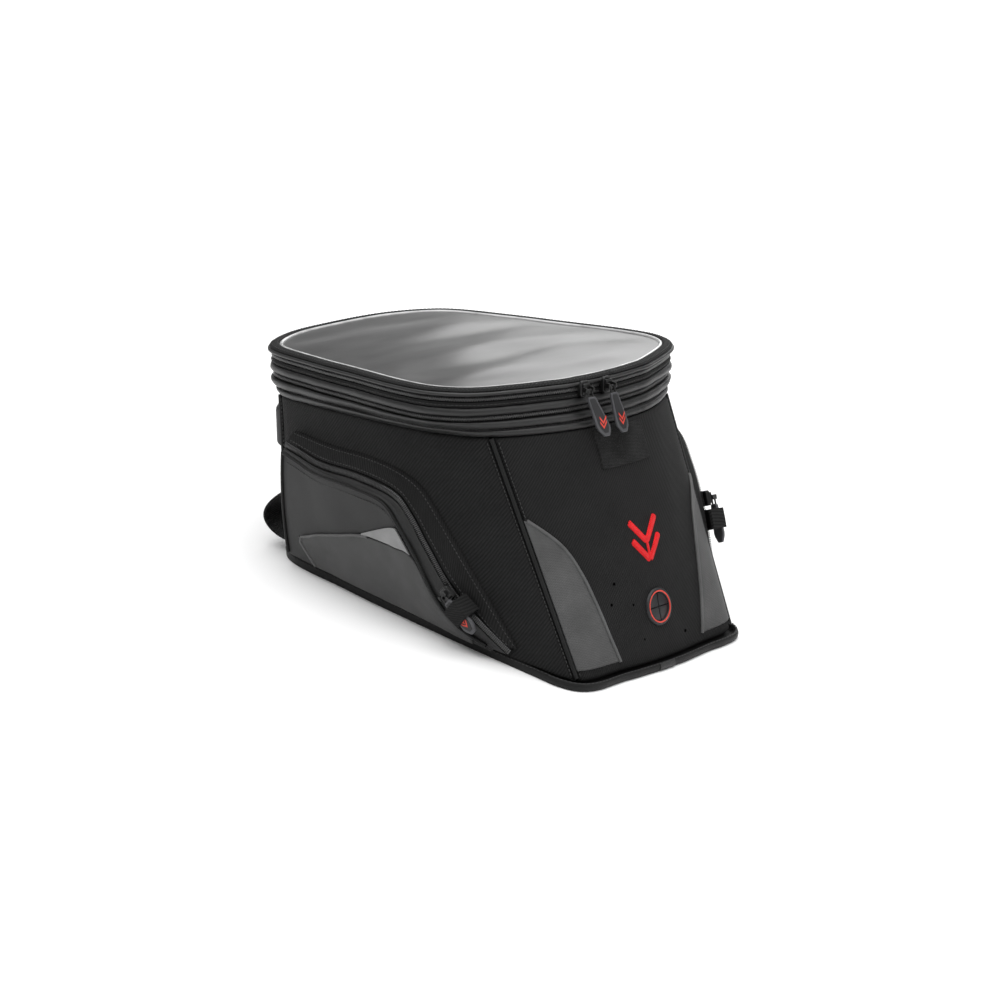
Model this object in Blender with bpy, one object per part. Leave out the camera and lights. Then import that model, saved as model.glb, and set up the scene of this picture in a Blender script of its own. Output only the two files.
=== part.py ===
"""Motorcycle tank bag with an expanding top, a zipped lid with a map window and two side pockets.

Shapes are worked out in millimetres. X runs across the bag, Y from the rider's side (front panel)
to the handlebar side (back panel), and Z up from the flat base. The lid lies in a deck that slopes
down to the back, whose points are (x, s, h): across, back along the deck, and up from it.
"""

import math

import bmesh
import bpy
from mathutils import Matrix, Vector

MM = 0.001
GAP = 0.35
ORIGIN_Y = 186.26           # the bounding box's middle, measured back from the base's front corners
DECK_TILT = math.radians(8.8)
LOOP_STEPS = 2              # points between two control points of an outline

# Half outlines, from the middle of the front to the middle of the back.
BASE_HALF = [(0, -6), (48, -3.5), (93, 2), (102, 43), (104, 105), (104, 172), (102, 239), (95, 311),
             (48, 330), (0, 334)]
RIM_HALF = [(0, 48), (53, 55), (104, 83), (119, 122), (122, 160), (119, 210), (114, 260), (102, 307),
            (52, 326), (0, 331)]
LID_HALF = [(0, 48), (30, 50), (57, 55.4), (113, 80), (136, 110), (139, 148), (130, 207), (122, 258),
            (105, 318), (60, 346), (0, 352)]
SEAM = 2                    # the front seams' index in the outlines
REAR_SEAM = 7               # the back seams' index
RIM_H = 186.2               # deck height where the walls end

WALL = 3.0
WALL_TOP = 0.982
BELLY = 6.0                 # how far the padded front panel swells out at mid height
WALL_FOOT = 0.032
PIPING_R = 2.0
PIPING_FOOT = 0.062
SEAM_ROOM = 0.068           # outline steps left free beside a seam for its piping

# Deck heights of the stacked bands, from the body's top rolls to the lid's edge.
TOP_BAND = (184.2, 197.2)
TOP_BAND_GROOVE = 190.0
EXPANSION_ZIP_LOWER = (197.5, 199.4)
EXPANSION_ZIP_UPPER = (199.7, 201.6)
COLLAR_BAND = (201.9, 212.7)
MAIN_ZIP_LOWER = (213.0, 214.9)
MAIN_ZIP_UPPER = (215.2, 217.1)
LID_BINDING = (217.4, 223.3)
LID_FRAME = (209.0, 219.4)
LID_PANEL = (206.9, 208.5)
WINDOW = (219.8, 221.0)
GUSSET = (197.6, 206.3)
BAND_INNER = 9.5            # how far the bands' inner edge lies inside the lid's outline
LID_SLOT_S = 318.0          # the lid panel ends here, which leaves the map slot open behind it

FRONT_ARC_R = 223.0         # the front run of the lid outline, which the main sliders follow
FRONT_ARC_S = 271.0
BACK_ARC_R = 303.0          # the back run, which the expansion slider follows
BACK_ARC_S = 49.0
MAIN_SLIDERS = {"left": (-8.6, 0.34), "right": (-2.6, 0.18)}   # degrees along the front arc, slant
MAIN_ZIP_H = 215.05
EXPANSION_ZIP_H = 199.55
EXPANSION_SLIDER = -6.0                            # degrees along the back arc

PORT_X, PORT_Z = 0.0, 44.0
PORT_R = 14.6
EMBLEM_Z = 92.0
RING_Y = 150.0
RING_R = (46.0, 61.0)
SCREW_R = 2.0

# Side pocket curves as (y, z) on the side wall, from the low front end to the high back end. The
# right pocket is the taller one: its zip climbs close behind the front seam.
POCKETS = {
    "left": {
        "outer": [(57, 15), (74, 32), (103, 61), (136, 94), (158, 114), (182, 121), (215, 121), (262, 115),
                  (305, 112)],
        "zip": [(63, 13), (89, 28), (117, 47), (142, 75), (159, 95), (178, 108), (217, 109), (262, 104),
                (304, 106)],
        "edge": [(77, 10), (109, 20), (130, 39), (147, 65), (166, 87), (185, 101), (222, 101), (262, 98),
                 (303, 101)],
        "foot": [(79, 7.6), (110, 8), (131, 9), (149, 9), (168, 9), (188, 9), (224, 9), (264, 9), (303, 9)],
        "swell": [0.0, 0.35, 0.68, 0.9, 1.0, 1.0, 1.0, 0.95, 0.8],
        "inlay_top": [0.55, 0.7, 0.86, 0.9, 0.74, 0.6, 0.5, 0.42, 0.36],
        "slider": 2,
    },
    "right": {
        "outer": [(31, 27), (43, 50), (56, 72), (69, 95), (87, 121), (110, 144), (146, 152), (215, 141),
                  (303, 120)],
        "zip": [(37, 23), (48, 44), (60, 66), (72.5, 88), (90, 111), (111, 132), (147, 141), (215, 130),
                (302, 112)],
        "edge": [(43, 18), (58, 37), (72, 59), (86, 79), (104, 101), (122, 119), (150, 129), (216, 120),
                 (301, 106)],
        "foot": [(46, 9), (70, 9), (95, 9), (120, 9), (146, 9), (176, 9), (206, 9), (248, 9), (300, 9)],
        "swell": [0.15, 0.55, 0.8, 0.92, 1.12, 1.18, 1.1, 0.95, 0.6],
        "inlay_top": [0.5, 0.6, 0.66, 0.66, 0.6, 0.5, 0.44, 0.4, 0.36],
        "slider": 3,
    },
}
POCKET_DEPTH = 13.0


def material(name, rgb, roughness, metallic=0.0, alpha=1.0):
    found = bpy.data.materials.get(name)
    if found:
        return found
    made = bpy.data.materials.new(name)
    made.use_nodes = True
    shader = made.node_tree.nodes["Principled BSDF"]
    shader.inputs["Base Color"].default_value = (*rgb, 1)
    shader.inputs["Roughness"].default_value = roughness
    shader.inputs["Metallic"].default_value = metallic
    shader.inputs["Alpha"].default_value = alpha
    return made


def twill():
    return material("twill", (0.022, 0.022, 0.024), 0.85)


def smooth_fabric():
    return material("smooth_fabric", (0.06, 0.06, 0.062), 0.6)


def grey_fabric():
    return material("grey_fabric", (0.11, 0.11, 0.115), 0.65)


def piping_black():
    return material("piping", (0.03, 0.03, 0.032), 0.5)


def zip_black():
    return material("zip", (0.012, 0.012, 0.013), 0.5)


def rubber():
    return material("rubber", (0.06, 0.06, 0.063), 0.55)


def dark_metal():
    return material("dark_metal", (0.05, 0.05, 0.055), 0.35, 1.0)


def red_thread():
    return material("red_thread", (0.75, 0.02, 0.02), 0.6)


def window_vinyl():
    return material("window_vinyl", (0.6, 0.6, 0.6), 0.2, 0.0, 0.5)


def board_black():
    return material("board", (0.02, 0.02, 0.02), 0.7)


def place(point):
    return Vector((point[0], point[1] - ORIGIN_Y, point[2])) * MM


def finish(name, mesh_bm, look):
    bmesh.ops.recalc_face_normals(mesh_bm, faces=mesh_bm.faces)
    mesh = bpy.data.meshes.new(name)
    mesh_bm.to_mesh(mesh)
    mesh_bm.free()
    mesh.materials.append(look)
    mesh.shade_smooth()
    mesh.set_sharp_from_angle(angle=math.radians(35))
    made = bpy.data.objects.new(name, mesh)
    bpy.context.collection.objects.link(made)
    return made


def grid_solid(name, inner, outer, look):
    """A closed sheet between two grids of points with the same rows and columns."""
    bm = bmesh.new()
    rows, cols = len(inner), len(inner[0])
    layers = [[[bm.verts.new(place(p)) for p in row] for row in grid] for grid in (inner, outer)]
    for layer in layers:
        for i in range(rows - 1):
            for j in range(cols - 1):
                bm.faces.new((layer[i][j], layer[i + 1][j], layer[i + 1][j + 1], layer[i][j + 1]))
    low, high = layers
    rim = [(i, 0) for i in range(rows)] + [(rows - 1, j) for j in range(1, cols)]
    rim += [(i, cols - 1) for i in range(rows - 2, -1, -1)] + [(0, j) for j in range(cols - 2, 0, -1)]
    for (a, b), (c, d) in zip(rim, rim[1:] + rim[:1]):
        bm.faces.new((low[a][b], low[c][d], high[c][d], high[a][b]))
    return finish(name, bm, look)


def ring_solid(name, loops, look):
    """A closed band through loops listed in order round its cross-section."""
    bm = bmesh.new()
    rings = [[bm.verts.new(place(p)) for p in loop] for loop in loops]
    for first, second in zip(rings, rings[1:] + rings[:1]):
        count = len(first)
        for i in range(count):
            j = (i + 1) % count
            bm.faces.new((first[i], first[j], second[j], second[i]))
    return finish(name, bm, look)


def plate_solid(name, low, high, look):
    bm = bmesh.new()
    bottom = [bm.verts.new(place(p)) for p in low]
    top = [bm.verts.new(place(p)) for p in high]
    bm.faces.new(bottom)
    bm.faces.new(top)
    for i in range(len(low)):
        j = (i + 1) % len(low)
        bm.faces.new((bottom[i], bottom[j], top[j], top[i]))
    return finish(name, bm, look)


def tube(name, points, radius, look):
    curve = bpy.data.curves.new(name, "CURVE")
    curve.dimensions = "3D"
    curve.bevel_depth = radius * MM
    curve.bevel_resolution = 1
    curve.use_fill_caps = True
    spline = curve.splines.new("POLY")
    spline.points.add(len(points) - 1)
    for target, point in zip(spline.points, points):
        target.co = (*place(point), 1)
    curve.materials.append(look)
    made = bpy.data.objects.new(name, curve)
    bpy.context.collection.objects.link(made)
    return made


def boolean(target, tools, operation):
    """Applies a Boolean with each tool and removes the tools."""
    for tool in tools:
        step = target.modifiers.new(operation, "BOOLEAN")
        step.operation = operation
        step.object = tool
        step.solver = "EXACT"
        bpy.context.view_layer.update()
        evaluated = target.evaluated_get(bpy.context.evaluated_depsgraph_get())
        mesh = bpy.data.meshes.new_from_object(evaluated)
        target.modifiers.clear()
        target.data = mesh
        bpy.data.objects.remove(tool)
    return target


def spline_point(points, at):
    """A Catmull-Rom point at parameter at, counted in control points, on an open curve."""
    last = len(points) - 1
    i = min(int(at), last - 1)
    t = at - i
    a, b = points[max(i - 1, 0)], points[i]
    c, d = points[i + 1], points[min(i + 2, last)]
    blend = (-t + 2 * t**2 - t**3, 2 - 5 * t**2 + 3 * t**3, t + 4 * t**2 - 3 * t**3, t**3 - t**2)
    return [sum(w * q[k] for w, q in zip(blend, (a, b, c, d))) / 2 for k in range(len(a))]


def around(half, at):
    """A point on the closed outline whose right half is given, at a parameter in control points."""
    full = list(half) + [(-x, y) for x, y in half[-2:0:-1]]
    count = len(full)
    i = math.floor(at)
    four = [full[(i + k) % count] for k in (-1, 0, 1, 2)]
    return spline_point(four, 1 + at - i)


def outline(half, inset=0.0):
    """The closed outline as (x, y) points, moved inwards by inset."""
    count = (len(half) * 2 - 2) * LOOP_STEPS
    loop = [Vector(around(half, i / LOOP_STEPS)) for i in range(count)]
    moved = []
    for i in range(count):
        along = (loop[(i + 1) % count] - loop[i - 1]).normalized()
        moved.append(loop[i] + Vector((-along.y, along.x)) * inset)
    return moved


def deck(x, s, h):
    cos, sin = math.cos(DECK_TILT), math.sin(DECK_TILT)
    return Vector((x, s * cos + h * sin, -s * sin + h * cos))


def deck_loop(half, inset, h):
    return [deck(p.x, p.y, h) for p in outline(half, inset)]


def belly(u, v):
    """How far the front panel swells out between its seams."""
    turn = (u + len(BASE_HALF) - 1) % (2 * len(BASE_HALF) - 2) - len(BASE_HALF) + 1
    across = max(0.0, 1 - (turn / SEAM) ** 2)
    return BELLY * across * math.sin(math.pi * min(max(v, 0.0), 1.0))


def wall_point(u, v, out=0.0):
    """A point of the body's wall: u round the outline, v from the base (0) to the rim (1)."""
    def bare(a, b):
        foot = around(BASE_HALF, a)
        head = around(RIM_HALF, a)
        return Vector((foot[0], foot[1] - belly(a, b), 0)).lerp(deck(head[0], head[1] - belly(a, b), RIM_H), b)
    here = bare(u, v)
    if not out:
        return here
    step = 0.02
    normal = (bare(u + step, v) - bare(u - step, v)).cross(bare(u, v + step) - bare(u, v - step))
    return here + normal.normalized() * out


def wall_at(axis, value, z, low, high):
    """The wall's (u, v) where the coordinate axis (0 is x, 1 is y) has the value at height z."""
    v = 0.5
    for _ in range(30):
        u = (low + high) / 2
        v = z / wall_point(u, 1).z
        if wall_point(u, v)[axis] < value:
            low = u
        else:
            high = u
    return u, v


def spread(low, high, count):
    return [low + (high - low) * i / (count - 1) for i in range(count)]


def wall_panel(name, u_range, v_range, out_range, look, cells=(8, 6)):
    grids = []
    for out in out_range:
        grids.append([[wall_point(u, v, out) for v in spread(*v_range, cells[1])]
                      for u in spread(*u_range, cells[0])])
    return grid_solid(name, *grids, look)


def cylinder(name, radius, depth, matrix, look, sides=24):
    """A cylinder about the matrix's Z axis, centred on its origin."""
    loops = []
    for z in (-depth / 2, depth / 2):
        turns = [2 * math.pi * (k + 0.37) / sides for k in range(sides)]
        loops.append([matrix @ Vector((radius * math.cos(a), radius * math.sin(a), z)) for a in turns])
    return plate_solid(name, *loops, look)


def block(name, size, centre, matrix, look):
    x, y, z = (value / 2 for value in size)
    corners = [(-x, -y), (x, -y), (x, y), (-x, y)]
    loops = [[matrix @ (Vector((a, b, c)) + Vector(centre)) for a, b in corners] for c in (-z, z)]
    return plate_solid(name, *loops, look)


def frame_at(origin, x_axis, outward):
    """A frame with X along x_axis and Y facing outward, square to it."""
    x_axis = x_axis.normalized()
    y_axis = (outward - x_axis * outward.dot(x_axis)).normalized()
    z_axis = x_axis.cross(y_axis)
    matrix = Matrix((x_axis, y_axis, z_axis)).transposed().to_4x4()
    return Matrix.Translation(origin) @ matrix


# ---------------------------------------------------------------- base

def ring_loop(radius, z, sides=40):
    return [Vector((radius * math.cos(2 * math.pi * k / sides),
                    RING_Y + radius * math.sin(2 * math.pi * k / sides), z)) for k in range(sides)]


def flat_loop(half, inset, z):
    return [Vector((p.x, p.y, z)) for p in outline(half, inset)]


def screw_spots():
    radius = sum(RING_R) / 2
    return {"front": Vector((0, RING_Y - radius, 0)), "rear": Vector((0, RING_Y + radius, 0))}


def upright(centre):
    return Matrix.Translation(centre)


def make_base():
    board = board_black()
    bottom = plate_solid("bottom_panel", flat_loop(BASE_HALF, 0, 0), flat_loop(BASE_HALF, 0, 2.5), board)
    hole = cylinder("ring_hole", RING_R[1] + GAP, 12, upright((0, RING_Y, 1)), board, 40)
    boolean(bottom, [hole], "DIFFERENCE")
    ring = ring_solid("tank_ring_adapter", [ring_loop(RING_R[0], 0), ring_loop(RING_R[1], 0),
                                            ring_loop(RING_R[1], 2.5), ring_loop(RING_R[0], 2.5)], rubber())
    stiff = plate_solid("base_board", flat_loop(BASE_HALF, 8.5, 2.9), flat_loop(BASE_HALF, 8.5, 5.4), board)
    for spot in screw_spots().values():
        for part in (ring, stiff):
            boolean(part, [cylinder("drill", SCREW_R + GAP, 30, upright(spot), board, 12)], "DIFFERENCE")
    for end, spot in screw_spots().items():
        shank = cylinder(f"ring_screw_{end}", SCREW_R, 6.2, upright(spot + Vector((0, 0, 3.7))), dark_metal(), 12)
        head = cylinder("head", 4.2, 2.2, upright(spot + Vector((0, 0, 6.9))), dark_metal(), 12)
        boolean(shank, [head], "UNION")
    low, high = 0, 7.0
    ring_solid("base_binding", [flat_loop(BASE_HALF, -1.3, low), flat_loop(BASE_HALF, -3.6, low),
                                flat_loop(BASE_HALF, -4.6, (low + high) / 2),
                                flat_loop(BASE_HALF, -4.2, high), flat_loop(BASE_HALF, -2.9, high)],
               piping_black())


# ---------------------------------------------------------------- walls

def make_walls():
    span = (WALL_FOOT, WALL_TOP)
    room = SEAM_ROOM
    front = wall_panel("front_panel", (-SEAM + room, SEAM - room), span, (-WALL, 0), twill(), (17, 7))
    last = len(BASE_HALF) * 2 - 2
    wall_panel("right_side_panel", (SEAM + room, REAR_SEAM - room), span, (-WALL, 0), twill(), (15, 7))
    wall_panel("left_side_panel", (last - REAR_SEAM + room, last - SEAM - room), span, (-WALL, 0), twill(),
               (15, 7))
    wall_panel("back_panel", (REAR_SEAM + room, last - REAR_SEAM - room), span, (-WALL, 0), twill(), (13, 7))
    stiff = wall_panel("front_stiffener", (-1.3, 1.3), (0.07, 0.93), (-WALL - 2.8, -WALL - 0.7),
                       board_black(), (11, 4))
    seams = {"right_front_piping": SEAM, "right_rear_piping": REAR_SEAM,
             "left_rear_piping": last - REAR_SEAM, "left_front_piping": last - SEAM}
    for name, u in seams.items():
        points = [wall_point(u, v, -0.2) for v in spread(PIPING_FOOT, span[1], 6)]
        tube(name, points, PIPING_R, piping_black())
    return front, stiff


def front_uv(x, z):
    return wall_at(0, x, z, -SEAM, SEAM)


def front_frame(x, z):
    """A frame on the front panel: X across, Y out of the panel, Z down it."""
    u, v = front_uv(x, z)
    here = wall_point(u, v)
    return frame_at(here, Vector((1, 0, 0)), wall_point(u, v, 1) - here)


INLAY_CURVE = [(50, 13), (56, 32), (62, 54), (69, 77), (79, 97), (95, 112)]


def make_front_trim(front, stiff):
    for side, sign in (("right", 1), ("left", -1)):
        rows = []
        for out in (0.6, 1.5):
            grid = []
            for k in spread(0, len(INLAY_CURVE) - 1, 11):
                x, z = spline_point(INLAY_CURVE, k)
                u, v = front_uv(sign * (x + 2.6), z)
                edge = sign * (SEAM - SEAM_ROOM)
                grid.append([wall_point(u + (edge - u) * t, v, out) for t in spread(0, 1, 4)])
            rows.append(grid)
        grid_solid(f"{side}_front_inlay", *rows, grey_fabric())
        cord = []
        for k in spread(0, len(INLAY_CURVE) - 1, 13):
            x, z = spline_point(INLAY_CURVE, k)
            u, v = front_uv(sign * x, z)
            cord.append(wall_point(u, v, 1.55 + GAP))
        tube(f"{side}_inlay_piping", cord, 1.5, piping_black())
    patch = [[[wall_point(*front_uv(x, z), out) for z in spread(146, 170.5, 4)]
              for x in spread(-28, 28, 7)] for out in (GAP, 1.8)]
    grid_solid("hook_patch", *patch, smooth_fabric())
    port = front_frame(PORT_X, PORT_Z) @ Matrix.Rotation(math.radians(90), 4, "X")
    for part in (front, stiff):
        boolean(part, [cylinder("port_hole", 10.5, 30, port, rubber(), 24)], "DIFFERENCE")
    grommet_place = port @ Matrix.Translation((0, 0, -1.2))
    grommet = cylinder("port_grommet", PORT_R, 1.4, grommet_place, rubber(), 32)
    boolean(grommet, [cylinder("bore", 11.2, 6, grommet_place, rubber(), 32)], "DIFFERENCE")
    membrane = cylinder("port_membrane", 10.8, 1.2, grommet_place, rubber(), 24)
    slits = [block("slit", size, (0, 0, 0), grommet_place, rubber()) for size in ((15, 0.7, 6), (0.7, 15, 6))]
    boolean(membrane, slits, "DIFFERENCE")
    make_emblem()


def make_emblem():
    """Two plain nested chevrons on a short bar."""
    matrix = front_frame(0, EMBLEM_Z)
    chevrons = []
    for lift in (0, 15):
        tip, arm, rise = 12 - lift, 19, 22
        shape = [(0, tip), (arm, tip - rise), (arm, tip - rise - 9), (0, tip - 9), (-arm, tip - rise - 9),
                 (-arm, tip - rise)]
        loops = [[matrix @ Vector((x, y, z)) for x, z in shape] for y in (1.0, 2.2)]
        chevrons.append(plate_solid("emblem", *loops, red_thread()))
    bar = block("bar", (3.6, 1.2, 22), (0, 1.6, 2), matrix, red_thread())
    boolean(chevrons[0], [chevrons[1], bar], "UNION")


# ---------------------------------------------------------------- top

def band(name, span, outer_inset, look, bulge=0.0):
    """A band that follows the lid's outline, with its outer side bulging outwards."""
    low, high = span
    loops = [deck_loop(LID_HALF, BAND_INNER, low), deck_loop(LID_HALF, outer_inset, low)]
    if bulge:
        loops.append(deck_loop(LID_HALF, outer_inset - bulge, (low + high) / 2))
    loops += [deck_loop(LID_HALF, outer_inset, high), deck_loop(LID_HALF, BAND_INNER, high)]
    return ring_solid(name, loops, look)


def inside_ring(name, span, inset, thickness, look):
    low, high = span
    return ring_solid(name, [deck_loop(LID_HALF, inset + thickness, low), deck_loop(LID_HALF, inset, low),
                             deck_loop(LID_HALF, inset, high), deck_loop(LID_HALF, inset + thickness, high)],
                      look)


def mixed_loop(share, inset, h):
    """A loop between the rim (share 0) and the lid's outline (share 1)."""
    count = (len(LID_HALF) * 2 - 2) * LOOP_STEPS
    rim_count = len(RIM_HALF) * 2 - 2
    lid = outline(LID_HALF, inset)
    middle = Vector((0, 180))
    rim = [Vector(around(RIM_HALF, rim_count * k / (count * 3))) for k in range(count * 3)]
    loop = []
    for point in lid:
        aim = (point - middle).normalized()
        near = max(rim, key=lambda p: (p - middle).normalized().dot(aim))
        edge = near - (near - middle).normalized() * inset
        mixed = edge.lerp(point, share)
        loop.append(deck(mixed.x, mixed.y, h))
    return loop


def make_top():
    low, high = TOP_BAND
    ring_solid("body_top_band", [mixed_loop(0, 3.2, low), mixed_loop(0, -1.0, low),
                                 mixed_loop(0.3, -0.8, (low + TOP_BAND_GROOVE) / 2),
                                 mixed_loop(0.5, 3.2, TOP_BAND_GROOVE),
                                 mixed_loop(0.9, 1.2, (TOP_BAND_GROOVE + high) / 2), mixed_loop(1, 5.5, high),
                                 mixed_loop(1, BAND_INNER, high)], smooth_fabric())
    band("expansion_zip_lower", EXPANSION_ZIP_LOWER, 6.2, zip_black())
    band("expansion_zip_upper", EXPANSION_ZIP_UPPER, 6.2, zip_black())
    inside_ring("expansion_gusset", GUSSET, BAND_INNER + GAP, 1.5, smooth_fabric())
    band("collar_band", COLLAR_BAND, 4.6, smooth_fabric(), 2.2)
    band("main_zip_lower", MAIN_ZIP_LOWER, 4.6, zip_black())
    band("main_zip_upper", MAIN_ZIP_UPPER, 4.6, zip_black())
    band("lid_binding", LID_BINDING, 2.0, piping_black(), 2.0)
    inside_ring("lid_frame", LID_FRAME, BAND_INNER + GAP, 2.4, board_black())
    window = [deck_loop(LID_HALF, BAND_INNER + GAP, h) for h in WINDOW]
    plate_solid("map_window", *window, window_vinyl())
    panel = []
    for h in LID_PANEL:
        inside = outline(LID_HALF, BAND_INNER + 2.6)
        panel.append([deck(p.x, min(p.y, LID_SLOT_S), h) for p in inside])
    plate_solid("lid_panel", *panel, smooth_fabric())


def make_hinge_tape():
    """A strip over the closed zip at the back, on which the lid swings."""
    grids = []
    for out in (1.2, 2.2):
        rows = []
        for turn in spread(-11, 11, 7):
            angle = math.radians(turn)
            radius = BACK_ARC_R + out
            rows.append([deck(radius * math.sin(angle), BACK_ARC_S + radius * math.cos(angle), h)
                         for h in (COLLAR_BAND[0] + 4.4, MAIN_ZIP_LOWER[1])])
        grids.append(rows)
    grid_solid("lid_hinge_tape", *grids, twill())


# ---------------------------------------------------------------- zip sliders

PIN_R = 0.8
PIN_OUT = 9.9
PULLER_HALF = [(2.3, 2.2), (2.3, -3.8), (4.2, -7), (6.5, -30), (3.4, -37)]


def make_slider(name, matrix):
    """A slider whose back touches the frame's Y=0 plane; its pin runs along X."""
    look = dark_metal()
    body = block(name, (9.6, 2.0, 12.0), (0, 6.0, 0), matrix, look)
    neck = block("neck", (7, 5.4, 3.4), (0, 2.7, 0), matrix, look)
    lugs = [block("lug", (1.6, 4.4, 4.0), (x, 8.8, 0), matrix, look) for x in (-3.6, 3.6)]
    along_x = Matrix.Rotation(math.radians(90), 4, "Y")
    pin = cylinder("pin", PIN_R, 8.0, matrix @ Matrix.Translation((0, PIN_OUT, 0)) @ along_x, look, 10)
    return boolean(body, [neck, *lugs, pin], "UNION")


def make_puller(name, matrix, lean, slant=0.0):
    """A rubber puller hanging from the slider's pin down the frame's -Z, tipped out by lean degrees and
    drifting sideways by slant per length."""
    pivot = matrix @ Matrix.Translation((0, PIN_OUT, 0)) @ Matrix.Rotation(math.radians(lean), 4, "X")
    shape = PULLER_HALF + [(-x, z) for x, z in reversed(PULLER_HALF)]
    shape = [(x + slant * min(0, z - PULLER_HALF[1][1]), z) for x, z in shape]
    loops = [[pivot @ Vector((x, y, z)) for x, z in shape] for y in (-1.4, 1.4)]
    puller = plate_solid(name, *loops, rubber())
    along_x = Matrix.Rotation(math.radians(90), 4, "Y")
    return boolean(puller, [cylinder("eye", PIN_R + 0.25, 20, pivot @ along_x, rubber(), 12)], "DIFFERENCE")


def main_slider_frame(turn):
    angle = math.radians(turn)
    radius = FRONT_ARC_R - 4.6 + 0.9
    outward = (deck(math.sin(angle), -math.cos(angle), 0))
    across = deck(math.cos(angle), math.sin(angle), 0)
    centre = deck(radius * math.sin(angle), FRONT_ARC_S - radius * math.cos(angle), MAIN_ZIP_H)
    return frame_at(centre, -across, outward)


def expansion_slider_frame():
    angle = math.radians(EXPANSION_SLIDER)
    radius = BACK_ARC_R - 6.2 + 0.9
    outward = deck(math.sin(angle), math.cos(angle), 0)
    across = deck(math.cos(angle), -math.sin(angle), 0)
    centre = deck(radius * math.sin(angle), BACK_ARC_S + radius * math.cos(angle), EXPANSION_ZIP_H)
    return frame_at(centre, across, outward)


def make_zip_sliders():
    for side, (turn, slant) in MAIN_SLIDERS.items():
        matrix = main_slider_frame(turn)
        make_slider(f"{side}_main_slider", matrix)
        make_puller(f"{side}_main_puller", matrix, 12, slant)
    matrix = expansion_slider_frame()
    make_slider("expansion_slider", matrix)
    make_puller("expansion_puller", matrix, 0)


# ---------------------------------------------------------------- side pockets

def side_point(sign, y, z, out):
    """A point off the side wall at bag height z; out is measured straight out from the wall."""
    u, v = wall_at(1, y, z, SEAM, REAR_SEAM)
    point = wall_point(u, v, out)
    return Vector((sign * point.x, point.y, point.z))


def swell_at(pocket, t):
    return spline_point([(s,) for s in pocket["swell"]], t)[0] * POCKET_DEPTH


def pocket_rows(pocket, sign, t, lift):
    """Points up the pocket's door at t: foot, face, edge and the flange to the zip."""
    swell = swell_at(pocket, t)
    foot = spline_point(pocket["foot"], t)
    edge = spline_point(pocket["edge"], t)
    zipper = spline_point(pocket["zip"], t)
    rows = []
    for w in (0, 0.25, 0.5, 0.75, 1):
        y = foot[0] + (edge[0] - foot[0]) * w
        z = foot[1] + (edge[1] - foot[1]) * w
        rows.append(side_point(sign, y, z, 2.6 + lift + swell * math.sin(w * math.pi / 2) ** 0.85))
    rows.append(side_point(sign, zipper[0], zipper[1] - 3.2, 2.6 + lift + swell * 0.72))
    return rows


def make_pocket(side, sign):
    pocket = POCKETS[side]
    steps = spread(0, len(pocket["zip"]) - 1, 21)
    door = [[pocket_rows(pocket, sign, t, lift) for t in steps] for lift in (0, 2.2)]
    grid_solid(f"{side}_pocket_door", *door, smooth_fabric())
    gusset = []
    tape = []
    for lift in (0, 1.8):
        gusset_rows, tape_rows = [], []
        for t in steps:
            swell = swell_at(pocket, t)
            zipper = spline_point(pocket["zip"], t)
            outer = spline_point(pocket["outer"], t)
            near = side_point(sign, zipper[0], zipper[1] + 2.9, GAP + lift + swell * 0.62 + 1.7)
            middle = side_point(sign, (zipper[0] + outer[0]) / 2, (zipper[1] + outer[1]) / 2 + 2,
                                0.6 + lift + swell * 0.33)
            far = side_point(sign, outer[0], outer[1] + 2, 0.6 + lift)
            gusset_rows.append([near, middle, far])
            tape_rows.append([side_point(sign, zipper[0], zipper[1] + dz, 2.2 + lift * 0.7 + swell * share)
                              for dz, share in ((-2.7, 0.74), (2.4, 0.68))])
        gusset.append(gusset_rows)
        tape.append(tape_rows)
    grid_solid(f"{side}_pocket_gusset", *gusset, twill())
    grid_solid(f"{side}_pocket_zip", *tape, zip_black())
    cord = [pocket_rows(pocket, sign, t, 2.2 + 1.4 + GAP)[4] for t in spread(0.3, 7.9, 19)]
    tube(f"{side}_pocket_piping", cord, 1.3, piping_black())
    inlay = []
    for lift in (3.2, 4.3):
        grid = []
        for t in spread(0.7, 7.6, 14):
            rows = pocket_rows(pocket, sign, t, lift)
            top = spline_point([(s,) for s in pocket["inlay_top"]], t)[0] * 4
            column = []
            for w in spread(0.25, top, 4):
                k = min(int(w), 3)
                column.append(rows[k].lerp(rows[k + 1], w - k))
            grid.append(column)
        inlay.append(grid)
    grid_solid(f"{side}_pocket_inlay", *inlay, grey_fabric())
    make_pocket_slider(side, sign)


def pocket_slider_frame(pocket, sign):
    at = pocket["slider"]
    here, below = pocket["zip"][at], pocket["zip"][at - 1]
    start = side_point(sign, here[0], here[1], 5.3 + swell_at(pocket, at) * 0.72)
    foot = side_point(sign, below[0], below[1], 5.3 + swell_at(pocket, at - 1) * 0.72)
    up = (start - foot).normalized()
    off_wall = side_point(sign, here[0], here[1], 30) - side_point(sign, here[0], here[1], 20)
    outward = (off_wall - up * off_wall.dot(up)).normalized()
    return frame_at(start, outward.cross(up), outward)


def make_pocket_slider(side, sign):
    matrix = pocket_slider_frame(POCKETS[side], sign)
    make_slider(f"{side}_pocket_slider", matrix)
    make_puller(f"{side}_pocket_puller", matrix, 0)
    look = twill()
    arch = [(-9, 4.3), (-9, 5.3), (-8.4, 12.6), (8.4, 12.6), (9, 5.3), (9, 4.3), (8, 4.3), (7.4, 11.6),
            (-7.4, 11.6), (-8, 4.3)]
    loops = [[matrix @ Vector((x, y, z)) for x, y in arch] for z in (-25, -9.5)]
    plate_solid(f"{side}_puller_garage", *loops, look)


# ---------------------------------------------------------------- back

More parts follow.
